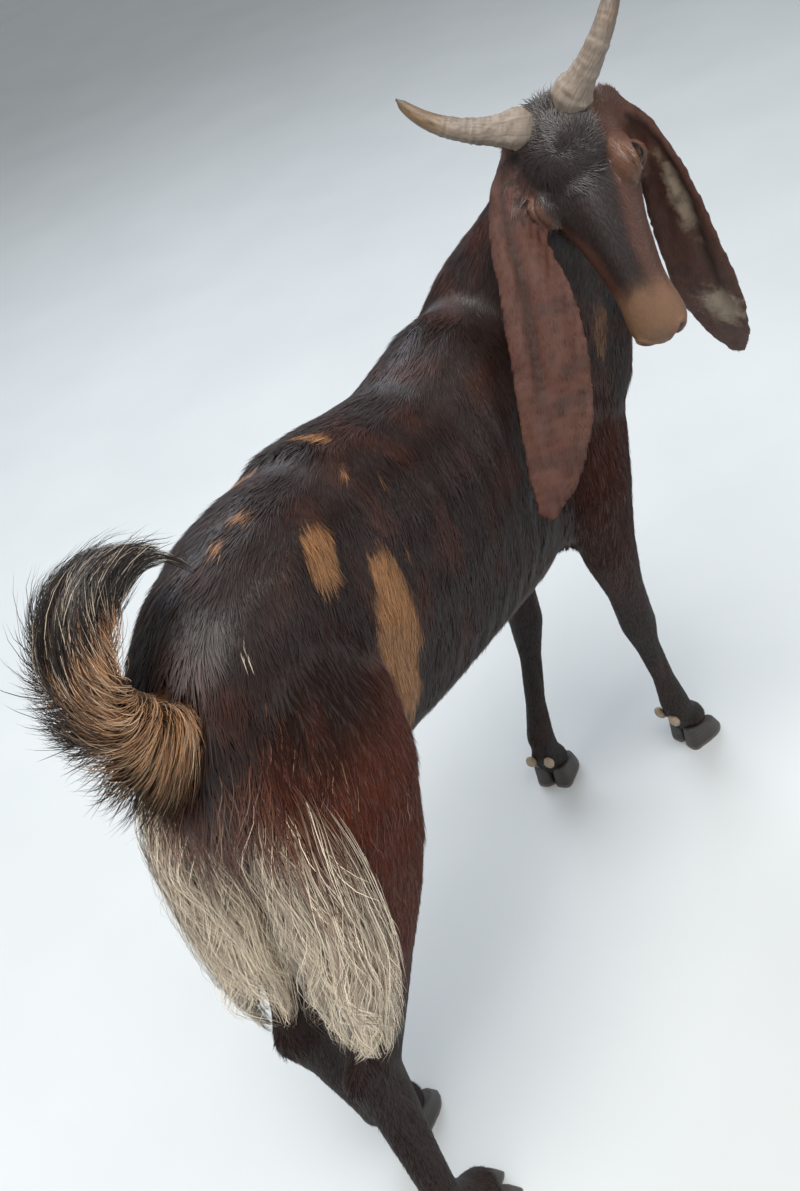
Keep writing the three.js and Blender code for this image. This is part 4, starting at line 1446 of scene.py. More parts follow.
def haunch_hair(mesh, points, region):
    """Long rusty locks that fall, waving, from the back of the thighs over the top of the cream hair."""
    x, y, z = points.T
    haunch = np.isin(region, (TRUNK, *HIND_REGIONS))
    behind = ease(225, 310, y) * ease(560, 610, z) * (1 - ease(655, 715, z))
    beside = ease(170, 230, y) * (np.abs(x) > 60) * ease(520, 560, z) * (1 - ease(600, 650, z)) * 0.35
    rng = np.random.default_rng(61)
    roots = Roots(mesh, haunch * behind + haunch * beside, 1750, rng)
    length = 44 + 46 * ease(250, 330, roots.place[:, 1])
    start = unit(roots.lie + roots.up * 0.2)
    one = np.ones(len(length))
    down = np.column_stack((-0.28 * np.sign(roots.place[:, 0]), 0.3 * one, -one))
    return rooted_locks("haunch_hair", roots, length, start, down, 7, 0.85, 4.0, 61, rng, haunch_colour)


def forelock(mesh, points, region, length):
    """Soft hair between the horns and the eyes, parted at a whorl."""
    head = body_to_head(points)
    reach = np.hypot(head[:, 0] / 34, (head[:, 1] + 42) / 46)
    density = (region == HEAD) * (1 - ease(0.75, 1.0, reach)) * ease(-26, -6, head[:, 2])
    rng = np.random.default_rng(71)
    roots = Roots(mesh, density, 2300, rng)
    away = np.hypot(*(body_to_head(roots.place)[:, :2] - WHORL).T)
    length = length * (0.6 + 0.6 * ease(6, 30, away))
    start, end = unit(roots.lie + roots.up * 0.75), unit(roots.lie - roots.up * 0.2)
    return rooted_locks("forelock", roots, length, start, end, 6, 0.8, 2.2, 71, rng)


class GOAT_OT_eyes(bpy.types.Operator):
    """Make the eyes, each with a slit pupil"""

    bl_idname = "goat.eyes"
    bl_label = "Eyes"

    def execute(self, context):
        material = eye_material(context.scene.goat_colours)
        for s, side in ((1, "left"), (-1, "right")):
            piece = put(f"eyeball_{side}", eyeball(s, f"eyeball_{side}"))
            settle(piece, material, "eye", f"eye_{side}")
        return {"FINISHED"}


def eyeball(s, name):
    """A ball whose front bulges as the cornea does."""
    points, faces = unit_ball(56, 40)
    out, nose, up = eye_axes(s)
    axes = np.stack((nose, up, out))
    if np.linalg.det(axes) < 0:
        faces = [f[::-1] for f in faces]
    bulge = 0.06 * (1 - ease(0.25, 0.72, np.hypot(points[:, 0], points[:, 1]))) * (points[:, 2] > 0)
    grown = points * (EYE_RADIUS * (1 + bulge))[:, None]
    mesh = mesh_from(name, head_to_body(grown @ axes + EYE * (s, 1, 1)), faces)
    store(mesh, "iris", points * (EYE_RADIUS, EYE_RADIUS, 0), "FLOAT_VECTOR")
    store(mesh, "front", points[:, 2])
    return mesh


IRIS_EDGE = (6.5, 8.6)  # mm from the middle of the eye, where the dark rim round the iris starts and is full
PUPIL = ((5.6, 4.0), (2.2, 3.0))  # the half length and half height in mm, each with its corners' sharpness


def eye_material(colours):
    """Cornea, wet: a sharp highlight over an amber-brown iris with a level slit pupil."""
    material, tree = blank_material("cornea_wet")
    place = node(tree, "Attribute", out="Vector", attribute_name="iris")
    away = node(tree, "VectorMath", {0: place}, "Value", operation="LENGTH")
    x, y = (node(tree, "SeparateXYZ", {0: place}, axis) for axis in "XY")
    turned = node(tree, "Math", {0: y, 1: x}, operation="ARCTAN2")
    spot = node(tree, "CombineXYZ", {"X": turned, "Y": away})
    # fine rays that run out from the pupil, about 0.5 mm wide
    spot = node(tree, "Mapping", {"Vector": spot, "Scale": (7.0, 0.25, 1)})
    rays = node(tree, "TexNoise", {"Vector": spot}, Scale=1.6, Detail=4.0)
    ray = node(tree, "MapRange", {"Value": rays}, From_Min=0.35, From_Max=0.65)
    rim = node(tree, "MapRange", {"Value": away}, From_Min=IRIS_EDGE[0], From_Max=IRIS_EDGE[1])
    slit = 0.0
    for value, (half, power) in zip((x, y), PUPIL):
        part = node(tree, "Math", {0: value, 1: half}, operation="DIVIDE")
        part = node(tree, "Math", {0: part}, operation="ABSOLUTE")
        part = node(tree, "Math", {0: part, 1: power}, operation="POWER")
        slit = node(tree, "Math", {0: slit, 1: part}, operation="ADD")
    pupil = node(tree, "MapRange", {"Value": slit}, From_Min=1.25, From_Max=0.85)
    behind = node(tree, "MapRange", {"Value": "front"}, From_Min=0.55, From_Max=0.35)
    dark = [c * 0.25 for c in colours.iris]
    layers = ((ray, colours.iris), (rim, linear("#120b08")), (pupil, linear("#060506")))
    shown = laid_over(tree, dark, *layers, (behind, linear("#2b1a12")))
    surface = {"Base Color": shown, "Roughness": 0.3, "IOR": 1.2}
    surface |= {"Coat Weight": 0.7, "Coat IOR": 1.3, "Coat Roughness": 0.04}
    node(tree, "OutputMaterial", {"Surface": node(tree, "BsdfPrincipled", surface)})
    return material


class GOAT_OT_horns(bpy.types.Operator):
    """Make the horns, ringed as they grow"""

    bl_idname = "goat.horns"
    bl_label = "Horns"

    def execute(self, context):
        for s, side in ((1, "left"), (-1, "right")):
            piece = put(f"ringed_horn_{side}", ringed_horn(s, f"ringed_horn_{side}"))
            settle(piece, horn_material(context.scene.goat_colours, side), "horn", f"horn_{side}")
        return {"FINISHED"}


HORN_LENGTH = 124.0
HORN_STEPS = 8
# Where the horn's root lies in the skull: its place from the base of the horn, and its girth, in mm.
HORN_ROOT = (((-14, -5, -27), 14), ((-10.5, -4, -16), 18.5), ((-5.5, -2.2, -7), 20.0))


def ringed_horn(s, name):
    """A horn that leaves the poll outwards, then bends down and back as it thins, with growth rings."""
    place = np.array((s * 34.0, -8.0, 6.0))
    rows = [(*(place + np.array(off) * (s, 1, 1)), 0.88 * girth, girth, girth) for off, girth in HORN_ROOT]
    for i in range(HORN_STEPS + 1):
        t = i / HORN_STEPS
        girth = 11.5 * (1 - t) ** 0.6 + 3 + 5 * math.exp(-t * 12)
        rows.append((*place, girth * 0.86, girth, girth))
        lift, sweep = math.radians(30 - 58 * t), math.radians(20 + 50 * t)
        way = (s * math.cos(lift) * math.cos(sweep), math.sin(sweep), math.sin(lift) * math.cos(sweep))
        place = place + np.array(way) * HORN_LENGTH / HORN_STEPS
    rows = evened(through(rows, 12), 150)
    t = np.clip(np.linspace(-31 / HORN_LENGTH, 1, len(rows)), 0, 1)
    phase = 2 * math.pi * (t * 17 - 4.5 * t**2) + 1.3 * np.sin(t * 23) + 0.8 * np.sin(t * 41 + s)
    ring = (0.5 + 0.5 * np.cos(phase)) ** 1.4 * (0.55 + 0.45 * np.sin(t * 31 + 2 * s))
    size = 0.7 * (1 - ease(0.3, 0.75, t)) + 0.06
    rows[:, 3:] += ((ring - 0.4) * size)[:, None] - 0.35
    rows[:, 3:] *= (1 - 0.55 * ease(0.93, 1, t))[:, None]
    sides = 44
    points, faces = tube(rows, (0, 0, 1), sides=sides, power=1.03)
    along = np.append(np.repeat(t, sides), (0, 1))
    ridge = np.append(np.repeat(ring * (1 - ease(0.6, 1, t)), sides), (0, 0))
    angle = np.tile(np.arange(sides) * 2 * math.pi / sides, len(rows))
    rng = np.random.default_rng(21)
    flutes = 0.28 * np.sin(angle * 9 + 3 * along[:-2]) + 0.2 * np.sin(angle * 5 + rng.uniform(0, 6))
    middle, body = np.repeat(rows[:, :3], sides, axis=0), points[:-2]
    lumps = 0.75 * ripple(body, 15, 22) + 0.4 * ripple(body * (1, 1, 1.6), 6, 23)
    points[:-2] = body + unit(body - middle) * ((flutes + lumps) * (1 - along[:-2]) ** 1.5)[:, None]
    mesh = mesh_from(name, head_to_body(points), faces)
    store(mesh, "along", along)
    store(mesh, "ridge", ridge)
    store(mesh, "round", np.append(np.cos(angle), (0, 0)))
    return mesh


def horn_material(colours, side):
    """Horn keratin, grown: long streaks, pale ring crests, dark grooves and a worn, shinier tip."""
    material, tree = blank_material(f"horn_keratin_grown_{side}")
    base = colours.horn
    gold = linear("#8a6a3c" if side == "right" else "#85705c")
    # streaks about 1 mm across that run the horn's length
    spot = node(tree, "CombineXYZ", {"X": "round", "Y": "along"})
    spot = node(tree, "Mapping", {"Vector": spot, "Scale": (14.0, 5.0, 1)})
    streak = node(tree, "TexNoise", {"Vector": spot}, Scale=1.5, Detail=6.0, Roughness=0.65)
    tone = node(tree, "MapRange", {"Value": streak}, From_Min=0.32, From_Max=0.68)
    # flaky, whitish new horn at the base, broken by brown
    flake = node(tree, "TexNoise", {"Vector": node(tree, "TexCoord", out="Object")}, Scale=60.0, Detail=6.0)
    patch = node(tree, "Math", {0: tone, 1: 0.6, 2: -0.2}, operation="MULTIPLY_ADD")
    patch = node(tree, "Math", {0: flake, 1: 0.7, 2: patch}, operation="MULTIPLY_ADD")
    crest = node(tree, "MapRange", {"Value": "ridge"}, To_Max=0.3)
    young = node(tree, "MapRange", {"Value": "along"}, From_Min=0.4, From_Max=0.02, To_Max=0.7)
    worn = node(tree, "MapRange", {"Value": "along"}, From_Min=0.45, From_Max=0.62, To_Max=0.75)
    tip = node(tree, "MapRange", {"Value": "along"}, From_Min=0.86, From_Max=0.99, To_Max=0.7)
    layers = (
        (tone, [min(1, c * 1.5) for c in base]),
        (crest, linear("#a39686")),
        (young, laid_over(tree, linear("#6e5c4e"), (patch, linear("#b5a899")))),
        (worn, laid_over(tree, linear("#33241a"), (tone, gold))),
        (tip, linear("#2e241c")),
    )
    shown = laid_over(tree, [c * 0.5 for c in base], *layers)
    bumps = node(tree, "Bump", {"Height": streak}, Strength=0.55, Distance=0.0008)
    rough = node(tree, "MapRange", {"Value": "along"}, To_Min=0.58, To_Max=0.33)
    surface = {"Base Color": shown, "Normal": bumps, "Roughness": rough, "IOR": 1.54}
    node(tree, "OutputMaterial", {"Surface": node(tree, "BsdfPrincipled", surface)})
    return material


class GOAT_OT_hooves(bpy.types.Operator):
    """Make the claws and dew claws, rounded and worn"""

    bl_idname = "goat.hooves"
    bl_label = "Hooves"

    def execute(self, context):
        colours = context.scene.goat_colours
        hoof, dew = hoof_material(colours), dew_material(colours)
        for name in sorted(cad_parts):
            if name.startswith("claw_"):
                settle(worn_claw(name, False), hoof, "hoof", name)
            elif name.startswith("dewclaw_"):
                settle(worn_claw(name, True), dew, "dewclaw", name)
        return {"FINISHED"}


CLAW_FACES, DEW_CLAW_FACES = 0.0018, 0.0011  # m, the edges of their meshes' faces
SOLE = 1.2  # mm, the height up to which a claw is pressed flat on the ground
GROWTH = 3.4  # mm from one growth ridge to the next


def worn_claw(name, small):
    """A claw with rounded edges, and if it isn't a small dew claw, growth ridges, chips and a flat sole."""
    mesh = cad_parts[name].data.copy()
    mesh.materials.clear()
    piece = put(f"worn_{name}", mesh)
    remesh(piece, DEW_CLAW_FACES if small else CLAW_FACES)
    points = places(mesh)
    low = points[:, 2].min()
    height = points[:, 2] - low
    moved = Net(mesh).smooth(points, 7 if small else 9)
    if not small:
        ridge = 0.22 * np.sin(height * 2 * math.pi / GROWTH + ripple(points, 30, 31) * 0.8)
        chips = -0.5 * ease(0.5, 1.4, ripple(points, 9, 32)) * (1 - ease(0, 6, height))
        moved += facings(mesh) * (ridge * ease(3, 8, height) + chips)[:, None]
        moved[:, 2] = np.where(height < SOLE, low, np.maximum(moved[:, 2], low))
    move_points(mesh, moved)
    store(mesh, "height", height)
    mesh.shade_smooth()
    return piece


def hoof_material(colours):
    """Hoof horn, grown and worn: dark with fine level growth lines, scuffed pale at the ground."""
    material, tree = blank_material("hoof_horn_worn")
    place = node(tree, "TexCoord", out="Object")
    # growth lines about 1.5 mm apart
    flat = node(tree, "Mapping", {"Vector": place, "Scale": (18, 18, 420)})
    lines = node(tree, "TexNoise", {"Vector": flat}, Scale=1.0, Detail=4.0)
    edge = node(tree, "MapRange", {"Value": "height"}, From_Min=7.0, From_Max=0.5)
    dust = node(tree, "TexNoise", {"Vector": place}, Scale=160.0, Detail=4.0)
    worn = node(tree, "Math", {0: edge, 1: dust}, operation="MULTIPLY")
    dark, light = ([c * much for c in colours.hoof] for much in (0.55, 1.7))
    shown = laid_over(tree, dark, (lines, light), (worn, linear("#9d9184")))
    bumps = node(tree, "Bump", {"Height": lines}, Strength=0.5, Distance=0.0006)
    surface = {"Base Color": shown, "Normal": bumps, "Roughness": 0.5, "IOR": 1.54}
    node(tree, "OutputMaterial", {"Surface": node(tree, "BsdfPrincipled", surface)})
    return material


def dew_material(colours):
    """Dew claw horn, unworn: pale and waxy, with faint bands."""
    material, tree = blank_material("dew_claw_horn_unworn")
    flat = node(tree, "Mapping", {"Vector": node(tree, "TexCoord", out="Object"), "Scale": (60, 60, 380)})
    bands = node(tree, "TexNoise", {"Vector": flat}, Scale=1.0, Detail=3.0)
    dark, light = ([min(1, c * much) for c in colours.dew] for much in (0.5, 1.3))
    shown = laid_over(tree, dark, (bands, light))
    bumps = node(tree, "Bump", {"Height": bands}, Strength=0.4, Distance=0.0005)
    surface = {"Base Color": shown, "Normal": bumps, "Roughness": 0.45}
    node(tree, "OutputMaterial", {"Surface": node(tree, "BsdfPrincipled", surface)})
    return material


# ---------------------------------------------------------------- long hair
# Stations of the tail and of the hair behind a thigh: middle, half width, reach over and under. The
# tail's over side is the inside of its curl; the breech hair's over side is the rear.
TAIL = (
    (0, 289, 706, 24, 20, 30),
    (-4, 333, 724, 44, 34, 84),
    (-2, 361, 768, 50, 44, 52),
    (2, 355, 812, 52, 36, 38),
    (4, 325, 840, 46, 28, 28),
    (0, 283, 844, 28, 15, 17),
    (-4, 249, 824, 10, 7, 8),
)
BREECH = (
    (50, 287, 640, 32, 30, 32),
    (60, 303, 570, 57, 44, 66),
    (64, 317, 480, 62, 42, 82),
    (61, 329, 400, 54, 38, 66),
    (57, 339, 330, 38, 27, 38),
    (54, 347, 290, 18, 14, 16),
)


class Plume:
    """Room for long hair round a line: a place in it is a run along, an angle round and a share out."""

    def __init__(self, stations, mirror=1):
        rows = np.array(stations, float)
        rows[:, 0] *= mirror
        self.rows = through(rows, 30)
        _, self.across, self.up = ring_axes(self.rows[:, :3], (1, 0, 0))
        self.t = np.linspace(0, 1, len(self.rows))

    def outward(self, run, angle):
        """Which way is out of the plume at the middle of each lock."""
        half = run.shape[1] // 2
        run, angle = run[:, half], angle[:, half]
        return unit(self.at(run, angle, 1.0) - self.at(run, angle, 0.0))

    def at(self, run, angle, share):
        """Points for arrays of run, angle and share."""

        def pick(values):
            return np.stack([np.interp(run, self.t, column) for column in values.T], axis=-1)

        row, across, up = pick(self.rows), pick(self.across), pick(self.up)
        c, s = np.cos(angle), np.sin(angle)
        high = np.where(s > 0, row[..., 4], row[..., 5]) * s
        return row[..., :3] + (across * (c * row[..., 3] * share)[..., None]) + up * (high * share)[..., None]


def clumped(count, clumps, rng):
    """Which clump each lock belongs to, in order."""
    return np.sort(rng.integers(0, clumps, count))


def long_locks(name, paths, up, width, masks, rng, seat, sections):
    """Long locks as one mesh that show their up side, whose roots are placed on the map by seat."""
    t = np.linspace(0, 1, sections)
    taper = np.minimum(1, 0.55 + t * 3) * (1 - t**2.2) ** 0.8
    shade = rng.random(len(paths))
    return put(name, spikes(name, paths, up, width, taper, 0.4, masks, shade, seat, soft=0.35))


class GOAT_OT_tail(bpy.types.Operator):
    """Make the tail's plume of long hair"""

    bl_idname = "goat.tail"
    bl_label = "Tail"

    def execute(self, context):
        hair = hair_material("goat_tail_hair_grown", context.scene.goat_colours, 0.95, 1.75, 0.4)
        settle(tail_plume(context.scene.goat_sizes.tail_locks), hair, "tan_hair", "tail")
        return {"FINISHED"}


def fullest(plume, run, count, rng):
    """Angles round a plume, more of them where it reaches furthest out."""
    angle = np.linspace(0, 2 * math.pi, 73)[:-1]
    reach = np.linalg.norm(plume.at(run, angle, 1.0) - plume.at(run, angle, 0.0), axis=-1)
    return rng.choice(angle, count, p=reach**1.3 / (reach**1.3).sum()) + rng.uniform(0, angle[1], count)


# How far forward along the tail's curl a lock runs, by where it starts.
TAIL_RUN = ((0.02, 0.14, 0.3, 0.46, 0.64), (0.09, 0.08, 0.16, 0.36, 0.4))
# How much a lock sweeps round to the outside of the curl, by where it starts.
TAIL_SWEEP = ((0.05, 0.3, 0.44, 0.5), (0.45, 0.9, 1.0, 0.35))
# How far in towards the curl the black reaches, by the run along the tail.
TAIL_BLACK = ((0, 0.13, 0.3, 0.46, 0.62, 0.76), (-1.8, -1.3, -0.9, -0.62, -0.2, 1.5))
WISP_END = ((-12, 234, 800, 6, 5, 5), (-14, 229, 776, 2, 2, 2))  # stations on from the tail's own
WISPS = 110


def tail_colours(start, run, inwards, s, rng):
    """Tan inside the curl and in all of the lower fan, black outside it and above, with a few pale cream
    locks in the black as painted highlights.
    """
    limit = np.interp(run, *TAIL_BLACK)
    upper = 1 - ease(limit - 0.16, limit + 0.16, inwards)
    roots = 1 - ease(0.02, 0.2, s)
    # painted highlight: about one lock in eight of the upper curl is less black and pale cream along most of
    # its length, for the grey glints on the black hair
    pale = ((rng.random(len(start)) < 0.13) & (start > 0.3))[:, None]
    fair = (rng.random(len(start)) < 0.3)[:, None] * (1 - upper)
    fringe = (0.05 + 0.25 * fair) * ease(0.2, 0.6, s) * (1 - upper)
    return {
        "rust": 0.6 - 0.4 * upper,
        "brown": 0.4 * (1 - upper),
        "tan": (1 - upper) * (1 - 0.55 * roots),
        "cream": np.where(pale & (upper > 0.4), 0.5 * ease(0.1, 0.5, s), fringe),
        "black": np.where(pale, 0.3, 1.0) * upper,
    }


def tail_plume(count):
    """Locks that fan out behind and below the dock, and that curl forwards over the rump above it."""
    rng = np.random.default_rng(41)
    plume = Plume(TAIL)
    sections, clumps = 8, 330
    own = clumped(count, clumps, rng)
    s = np.linspace(0, 1, sections)[None]
    first = rng.beta(1.0, 1.2, clumps) * 0.64 + 0.01
    angle = np.array([fullest(plume, min(0.9, u + 0.1), 1, rng)[0] for u in first])[own]
    start = first[own] + rng.normal(0, 0.018, count)
    forward = np.interp(start, *TAIL_RUN) * rng.uniform(0.8, 1.2, clumps)[own] + rng.normal(0, 0.02, count)
    run = np.clip(start[:, None] + forward[:, None] * s**1.15, 0.0, 1.0)
    tip = rng.uniform(0.82, 1.04, clumps)[own] + rng.normal(0, 0.06, count)
    tip = np.where(rng.random(count) < 0.28, tip * rng.uniform(0.55, 0.8, count), tip)
    share = 0.05 + (tip[:, None] - 0.05) * s ** np.where(start > 0.42, 0.66, 0.62)[:, None]
    # locks of the sides lie along them and sweep round to the outside of the curl
    outside = np.where(np.cos(angle) < 0, 1.5, -0.5) * math.pi
    around = (angle + math.pi / 2) % (2 * math.pi) - math.pi / 2
    sweep = (outside - around)[:, None] * (0.08 + 0.62 * s**1.3) * np.interp(start, *TAIL_SWEEP)[:, None]
    turned = around[:, None] + sweep + rng.normal(0, 0.13, count)[:, None] * s
    paths = plume.at(run, turned, share)
    low = 1 - ease(0.22, 0.42, start)[:, None]
    sway = rng.normal(0, 1, clumps)[own][:, None] * 3.0 * s**2
    paths[..., 0] += sway + np.sin(s * 5 + own[:, None]) * 1.2 * s
    paths[..., 2] -= low * s**2 * 8
    stray = np.where(rng.random(count) < 0.09, rng.uniform(6, 20, count), 0)
    paths += (stray[:, None] * s**2)[..., None] * unit(paths[:, -1:] - paths[:, :1])
    inwards = share * np.sin(turned) + rng.normal(0, 0.13, (count, 1))
    inwards = inwards + rng.normal(0, 0.12, clumps)[own][:, None]
    masks = tail_colours(start, run, inwards, s, rng)
    width = rng.uniform(0.7, 1.35, count)
    # a few thin strands that reach on from the curl over the rump: most black, the rest pale towards their
    # tips as painted highlights
    wisp = Plume(TAIL[3:] + WISP_END)
    begin = rng.uniform(0, 0.35, WISPS)[:, None]
    reach = rng.uniform(0.4, 0.62, WISPS)[:, None] * s
    out = np.clip(rng.normal(0.6, 0.22, WISPS), 0.1, 0.95)[:, None] * (1 - 0.3 * s)
    far, angles = np.clip(begin + reach, 0, 1), rng.uniform(0, 2 * math.pi, (WISPS, 1)) + 0 * s
    paths = np.concatenate((paths, wisp.at(far, angles, out)))
    up = np.vstack((plume.outward(run, turned), wisp.outward(far, angles)))
    # painted highlight: the strands that are not dark grow pale cream towards their tips, for grey glints on
    # the black hair
    dark = rng.random((WISPS, 1)) < 0.8
    strands = {"rust": 0.4, "brown": 0.2, "tan": 0, "cream": 0.5 * ~dark * s, "black": 0.9 * dark}
    for mask, much in strands.items():
        masks[mask] = np.concatenate((masks[mask] + 0 * s, much + np.zeros((WISPS, sections))))
    width = np.append(width, rng.uniform(0.5, 0.9, WISPS))
    seat = np.column_stack((angle / (2 * math.pi) % 1, start / 0.7))
    seat = np.vstack((seat, np.column_stack((angles[:, 0] / (2 * math.pi), np.full(WISPS, 0.95)))))
    return long_locks("tail_plume", paths, up, width, masks, rng, seat, sections)


class GOAT_OT_breech(bpy.types.Operator):
    """Make the long hair that hangs behind the thighs"""

    bl_idname = "goat.breech"
    bl_label = "Breech hair"

    def execute(self, context):
        hair = hair_material("goat_long_hair_grown", context.scene.goat_colours, 1.0, 1.5, 0.45)
        for s, side in ((1, "left"), (-1, "right")):
            locks = breech_locks(f"breech_locks_{side}", s, context.scene.goat_sizes.breech_locks)
            settle(locks, hair, "pale_hair", f"breech_hair_{side}")
        return {"FINISHED"}


def breech_locks(name, mirror, count):
    """Wavy, tangled locks that hang from the back and outside of a thigh and gather to ragged points."""
    rng = np.random.default_rng(51 + mirror)
    plume = Plume(BREECH, mirror)
    sections, clumps = 11, 120
    own = clumped(count, clumps, rng)
    s = np.linspace(0, 1, sections)[None]
    start = np.clip(rng.beta(1.0, 1.7, clumps)[own] * 0.58 + rng.normal(0, 0.035, count), 0, 0.66)
    way = rng.uniform(0, 1, clumps)
    angle = np.where(way < 0.78, math.pi * (0.42 + 1.3 * (way / 0.78 - 0.5)), math.pi * 2 * way)[own]
    reach = rng.uniform(0.32, 0.6, clumps)[own] * rng.uniform(0.75, 1.12, count)
    run = np.clip(start[:, None] + reach[:, None] * s, 0, 1.0)
    out = rng.uniform(0.7, 1.04, clumps)[own] + rng.normal(0, 0.05, count)
    out = np.where(rng.random(count) < 0.25, out * 0.78, out)
    share = np.clip(out, 0.3, 1.07)[:, None] * (0.82 + 0.18 * s)
    spread = rng.normal(0, 0.26, count)[:, None] * (1 - 0.9 * s**0.7)
    lean = rng.normal(0, 0.36, clumps)[own][:, None] * s**1.2
    turned = angle[:, None] + spread + lean
    paths = plume.at(run, turned, share)
    phase = rng.uniform(0, 2 * math.pi, clumps)[own][:, None] + rng.normal(0, 0.22, (count, 1))
    wild = (0.4 + rng.gamma(2.0, 0.45, clumps))[own][:, None] * rng.uniform(0.88, 1.12, (count, 1))
    gone = s * reach[:, None] * 360
    wave = np.sin(phase + gone / 15) * 5.2 * wild * s**0.6 + np.sin(phase * 1.7 + gone / 25) * 9.0 * wild * s
    depth = np.cos(phase + gone / 13) * 3.4 * wild * s
    across = np.stack((-np.sin(turned), np.cos(turned) * 0.6, 0 * turned), axis=-1)
    outward = np.stack((np.cos(turned), np.sin(turned), 0 * turned), axis=-1)
    paths += across * wave[..., None] + outward * depth[..., None]
    fresh = rng.normal(0, 0.11, clumps)[own][:, None] + rng.normal(0, 0.06, (count, 1))
    inner = ease(0.1, 0.8, -np.cos(turned))  # towards the other thigh, where the top is browner
    cream = ease(0.02, 0.34, s * 0.85 + start[:, None] * 1.2 - 0.06 - 0.24 * inner + fresh)
    dark_one = (rng.random(count) < 0.07 - 0.08 * start)[:, None]
    rust_one = (rng.random(count) < 0.26 * (1 - start) ** 2)[:, None]
    front = 1 - ease(-0.95, -0.6, np.sin(turned))
    cream = cream * np.where(dark_one | rust_one, 0.3, 1.0) * (1 - 0.6 * front)
    gold = rng.random(clumps)[own][:, None]
    masks = {
        "rust": np.where(rust_one, 1.0, 0.6) * np.ones((1, sections)),
        "brown": 0.45 * (1 - cream) * ~dark_one,
        "tan": np.where(gold < 0.3, 0.25, 0.06) * (1 - 0.4 * s) * ~dark_one,
        "cream": cream * (0.84 + 0.16 * gold),
        "black": np.zeros((count, 1)),
    }
    width = rng.uniform(0.55, 1.15, count)
    seat = np.column_stack((angle / (2 * math.pi) % 1, start / 0.7))
    return long_locks(name, paths, plume.outward(run, turned), width, masks, rng, seat, sections)


class GOAT_OT_stage(bpy.types.Operator):
    """Set the pale floor, the soft lights and the camera"""

    bl_idname = "goat.stage"
    bl_label = "Stage"

    def execute(self, context):
        make_floor()
        make_lights()
        make_camera()
        return {"FINISHED"}


FLOOR_REACH = 12.0  # m from the middle to the floor's edges


def make_floor():
    """A wide flat floor of pale painted board, rolled on: faintly mottled, so that it reads as a surface."""
    mesh = bpy.data.meshes.new("floor")
    corners = [(x * FLOOR_REACH, y * FLOOR_REACH, 0) for x, y in ((-1, -1), (1, -1), (1, 1), (-1, 1))]
    mesh.from_pydata(corners, [], [(0, 1, 2, 3)])
    floor = put("floor", mesh)
    material, tree = blank_material("painted_board_rolled")
    mottle = node(tree, "TexNoise", {"Vector": node(tree, "TexCoord", out="Object")}, Scale=3.0, Detail=5.0)
    shown = laid_over(tree, linear("#d4d8d8"), (mottle, linear("#e2e5e4")))
    surface = node(tree, "BsdfPrincipled", {"Base Color": shown, "Roughness": 0.75})
    node(tree, "OutputMaterial", {"Surface": surface})
    mesh.materials.append(material)


# The lamps: name, place in m, width in m, power in W and colour.
LAMPS = (
    ("key", (-0.5, 1.0, 3.6), 2.6, 132, "#fbf9f6"),
    ("fill", (-2.8, -1.2, 1.9), 2.4, 14, "#eef3fb"),
    ("rim", (2.0, -1.6, 3.2), 2.4, 58, "#e6eefb"),
)
LAMPS_AIM = Vector((0.0, 0.0, 0.5))
ROOM_LIGHT = 0.4


def make_lights():
    """A pale room: a wide soft key above and behind, a weak fill from the right front, and a rim."""
    world = bpy.data.worlds.new("studio")
    bpy.context.scene.world = world
    world.use_nodes = True
    back = world.node_tree.nodes["Background"]
    back.inputs[0].default_value = (*linear("#e6ecf2"), 1)
    back.inputs[1].default_value = ROOM_LIGHT
    bpy.context.scene.view_settings.view_transform = "Standard"
    for name, place, size, power, colour in LAMPS:
        lamp = bpy.data.lights.new(name, "AREA")
        lamp.shape, lamp.size, lamp.energy, lamp.color = "DISK", size, power, linear(colour)
        made = bpy.data.objects.new(name, lamp)
        made.location = place
        made.rotation_euler = (LAMPS_AIM - Vector(place)).to_track_quat("-Z", "Y").to_euler()
        bpy.context.scene.collection.objects.link(made)


CAMERA_PLACE = Vector((-0.6484, 0.8273, 1.33))
CAMERA_AIM = {"yaw": -48.5, "down": 35.6, "tilt": -21.9}
CAMERA_LENS, CAMERA_SENSOR = 38.96, 36  # mm


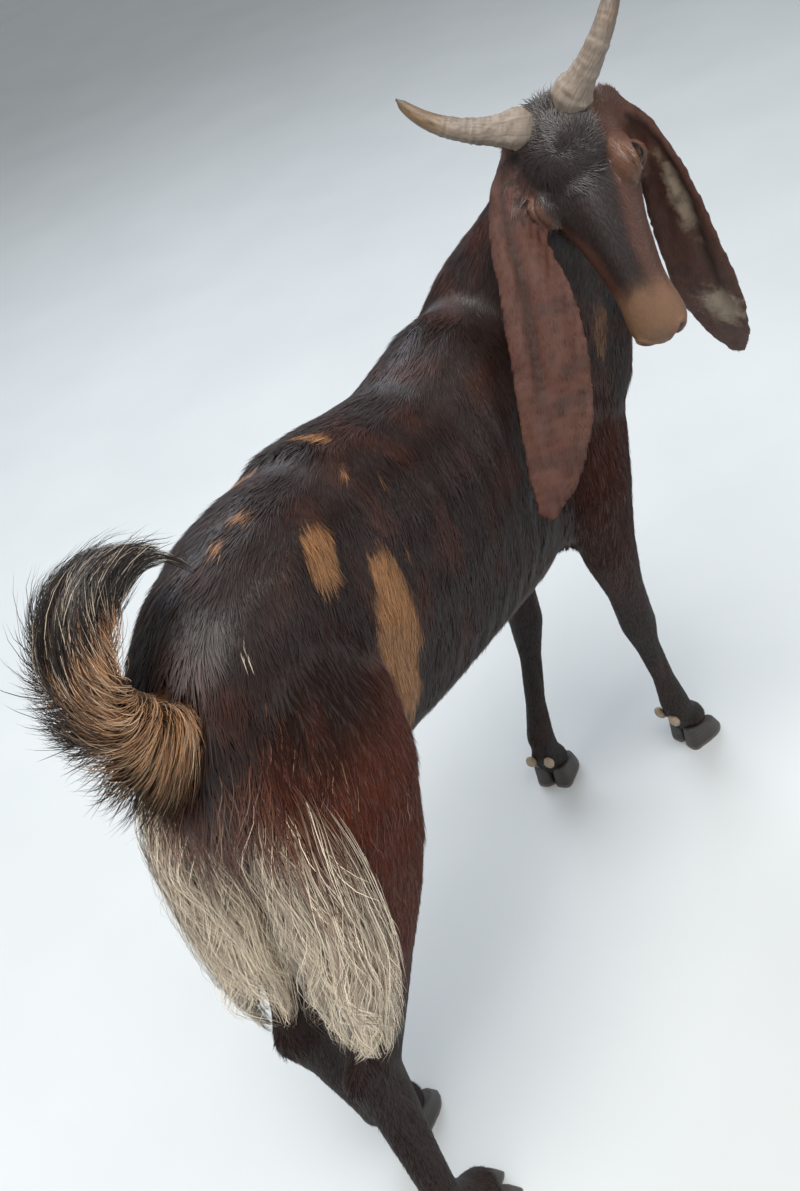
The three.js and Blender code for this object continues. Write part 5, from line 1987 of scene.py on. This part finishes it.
def make_camera():
    """A camera held above and behind the goat's right side, looking down at it and tilted."""
    yaw, down, tilt = (math.radians(CAMERA_AIM[k]) for k in ("yaw", "down", "tilt"))
    look = Vector((math.cos(down) * math.cos(yaw), math.cos(down) * math.sin(yaw), -math.sin(down)))
    right = Vector((math.sin(yaw), -math.cos(yaw), 0))
    up = right.cross(look)
    cos, sin = math.cos(tilt), math.sin(tilt)
    right, up = right * cos + up * sin, up * cos - right * sin
    data = bpy.data.cameras.new("camera")
    data.lens, data.sensor_width = CAMERA_LENS, CAMERA_SENSOR
    camera = bpy.data.objects.new("camera", data)
    facing = Matrix((right, up, -look)).transposed()
    camera.matrix_world = Matrix.Translation(CAMERA_PLACE) @ facing.to_4x4()
    bpy.context.scene.collection.objects.link(camera)
    bpy.context.scene.camera = camera


OPERATORS = (GOAT_OT_stage, GOAT_OT_hide, GOAT_OT_coat, GOAT_OT_overhair, GOAT_OT_eyes, GOAT_OT_horns)
OPERATORS += (GOAT_OT_hooves, GOAT_OT_tail, GOAT_OT_breech)
STEPS = [operator.bl_idname.removeprefix("goat.") for operator in OPERATORS]


class GOAT_PT_panel(bpy.types.Panel):
    """The goat's pieces and settings"""

    bl_idname = "GOAT_PT_panel"
    bl_label = "Goat"
    bl_space_type = "VIEW_3D"
    bl_region_type = "UI"
    bl_category = "Goat"

    def draw(self, context):
        for step in STEPS:
            self.layout.operator(f"goat.{step}")
        for group in (context.scene.goat_sizes, context.scene.goat_colours):
            box = self.layout.box()
            for name in group.__annotations__:
                box.prop(group, name)


CLASSES = (GoatColours, GoatSizes, *OPERATORS, GOAT_PT_panel)


def register():
    for made in CLASSES:
        bpy.utils.register_class(made)
    bpy.types.Scene.goat_colours = bpy.props.PointerProperty(type=GoatColours)
    bpy.types.Scene.goat_sizes = bpy.props.PointerProperty(type=GoatSizes)


def unregister():
    del bpy.types.Scene.goat_colours
    del bpy.types.Scene.goat_sizes
    for made in reversed(CLASSES):
        bpy.utils.unregister_class(made)


def main():
    register()
    for step in STEPS:
        getattr(bpy.ops.goat, step)()


if __name__ == "__main__":
    main()
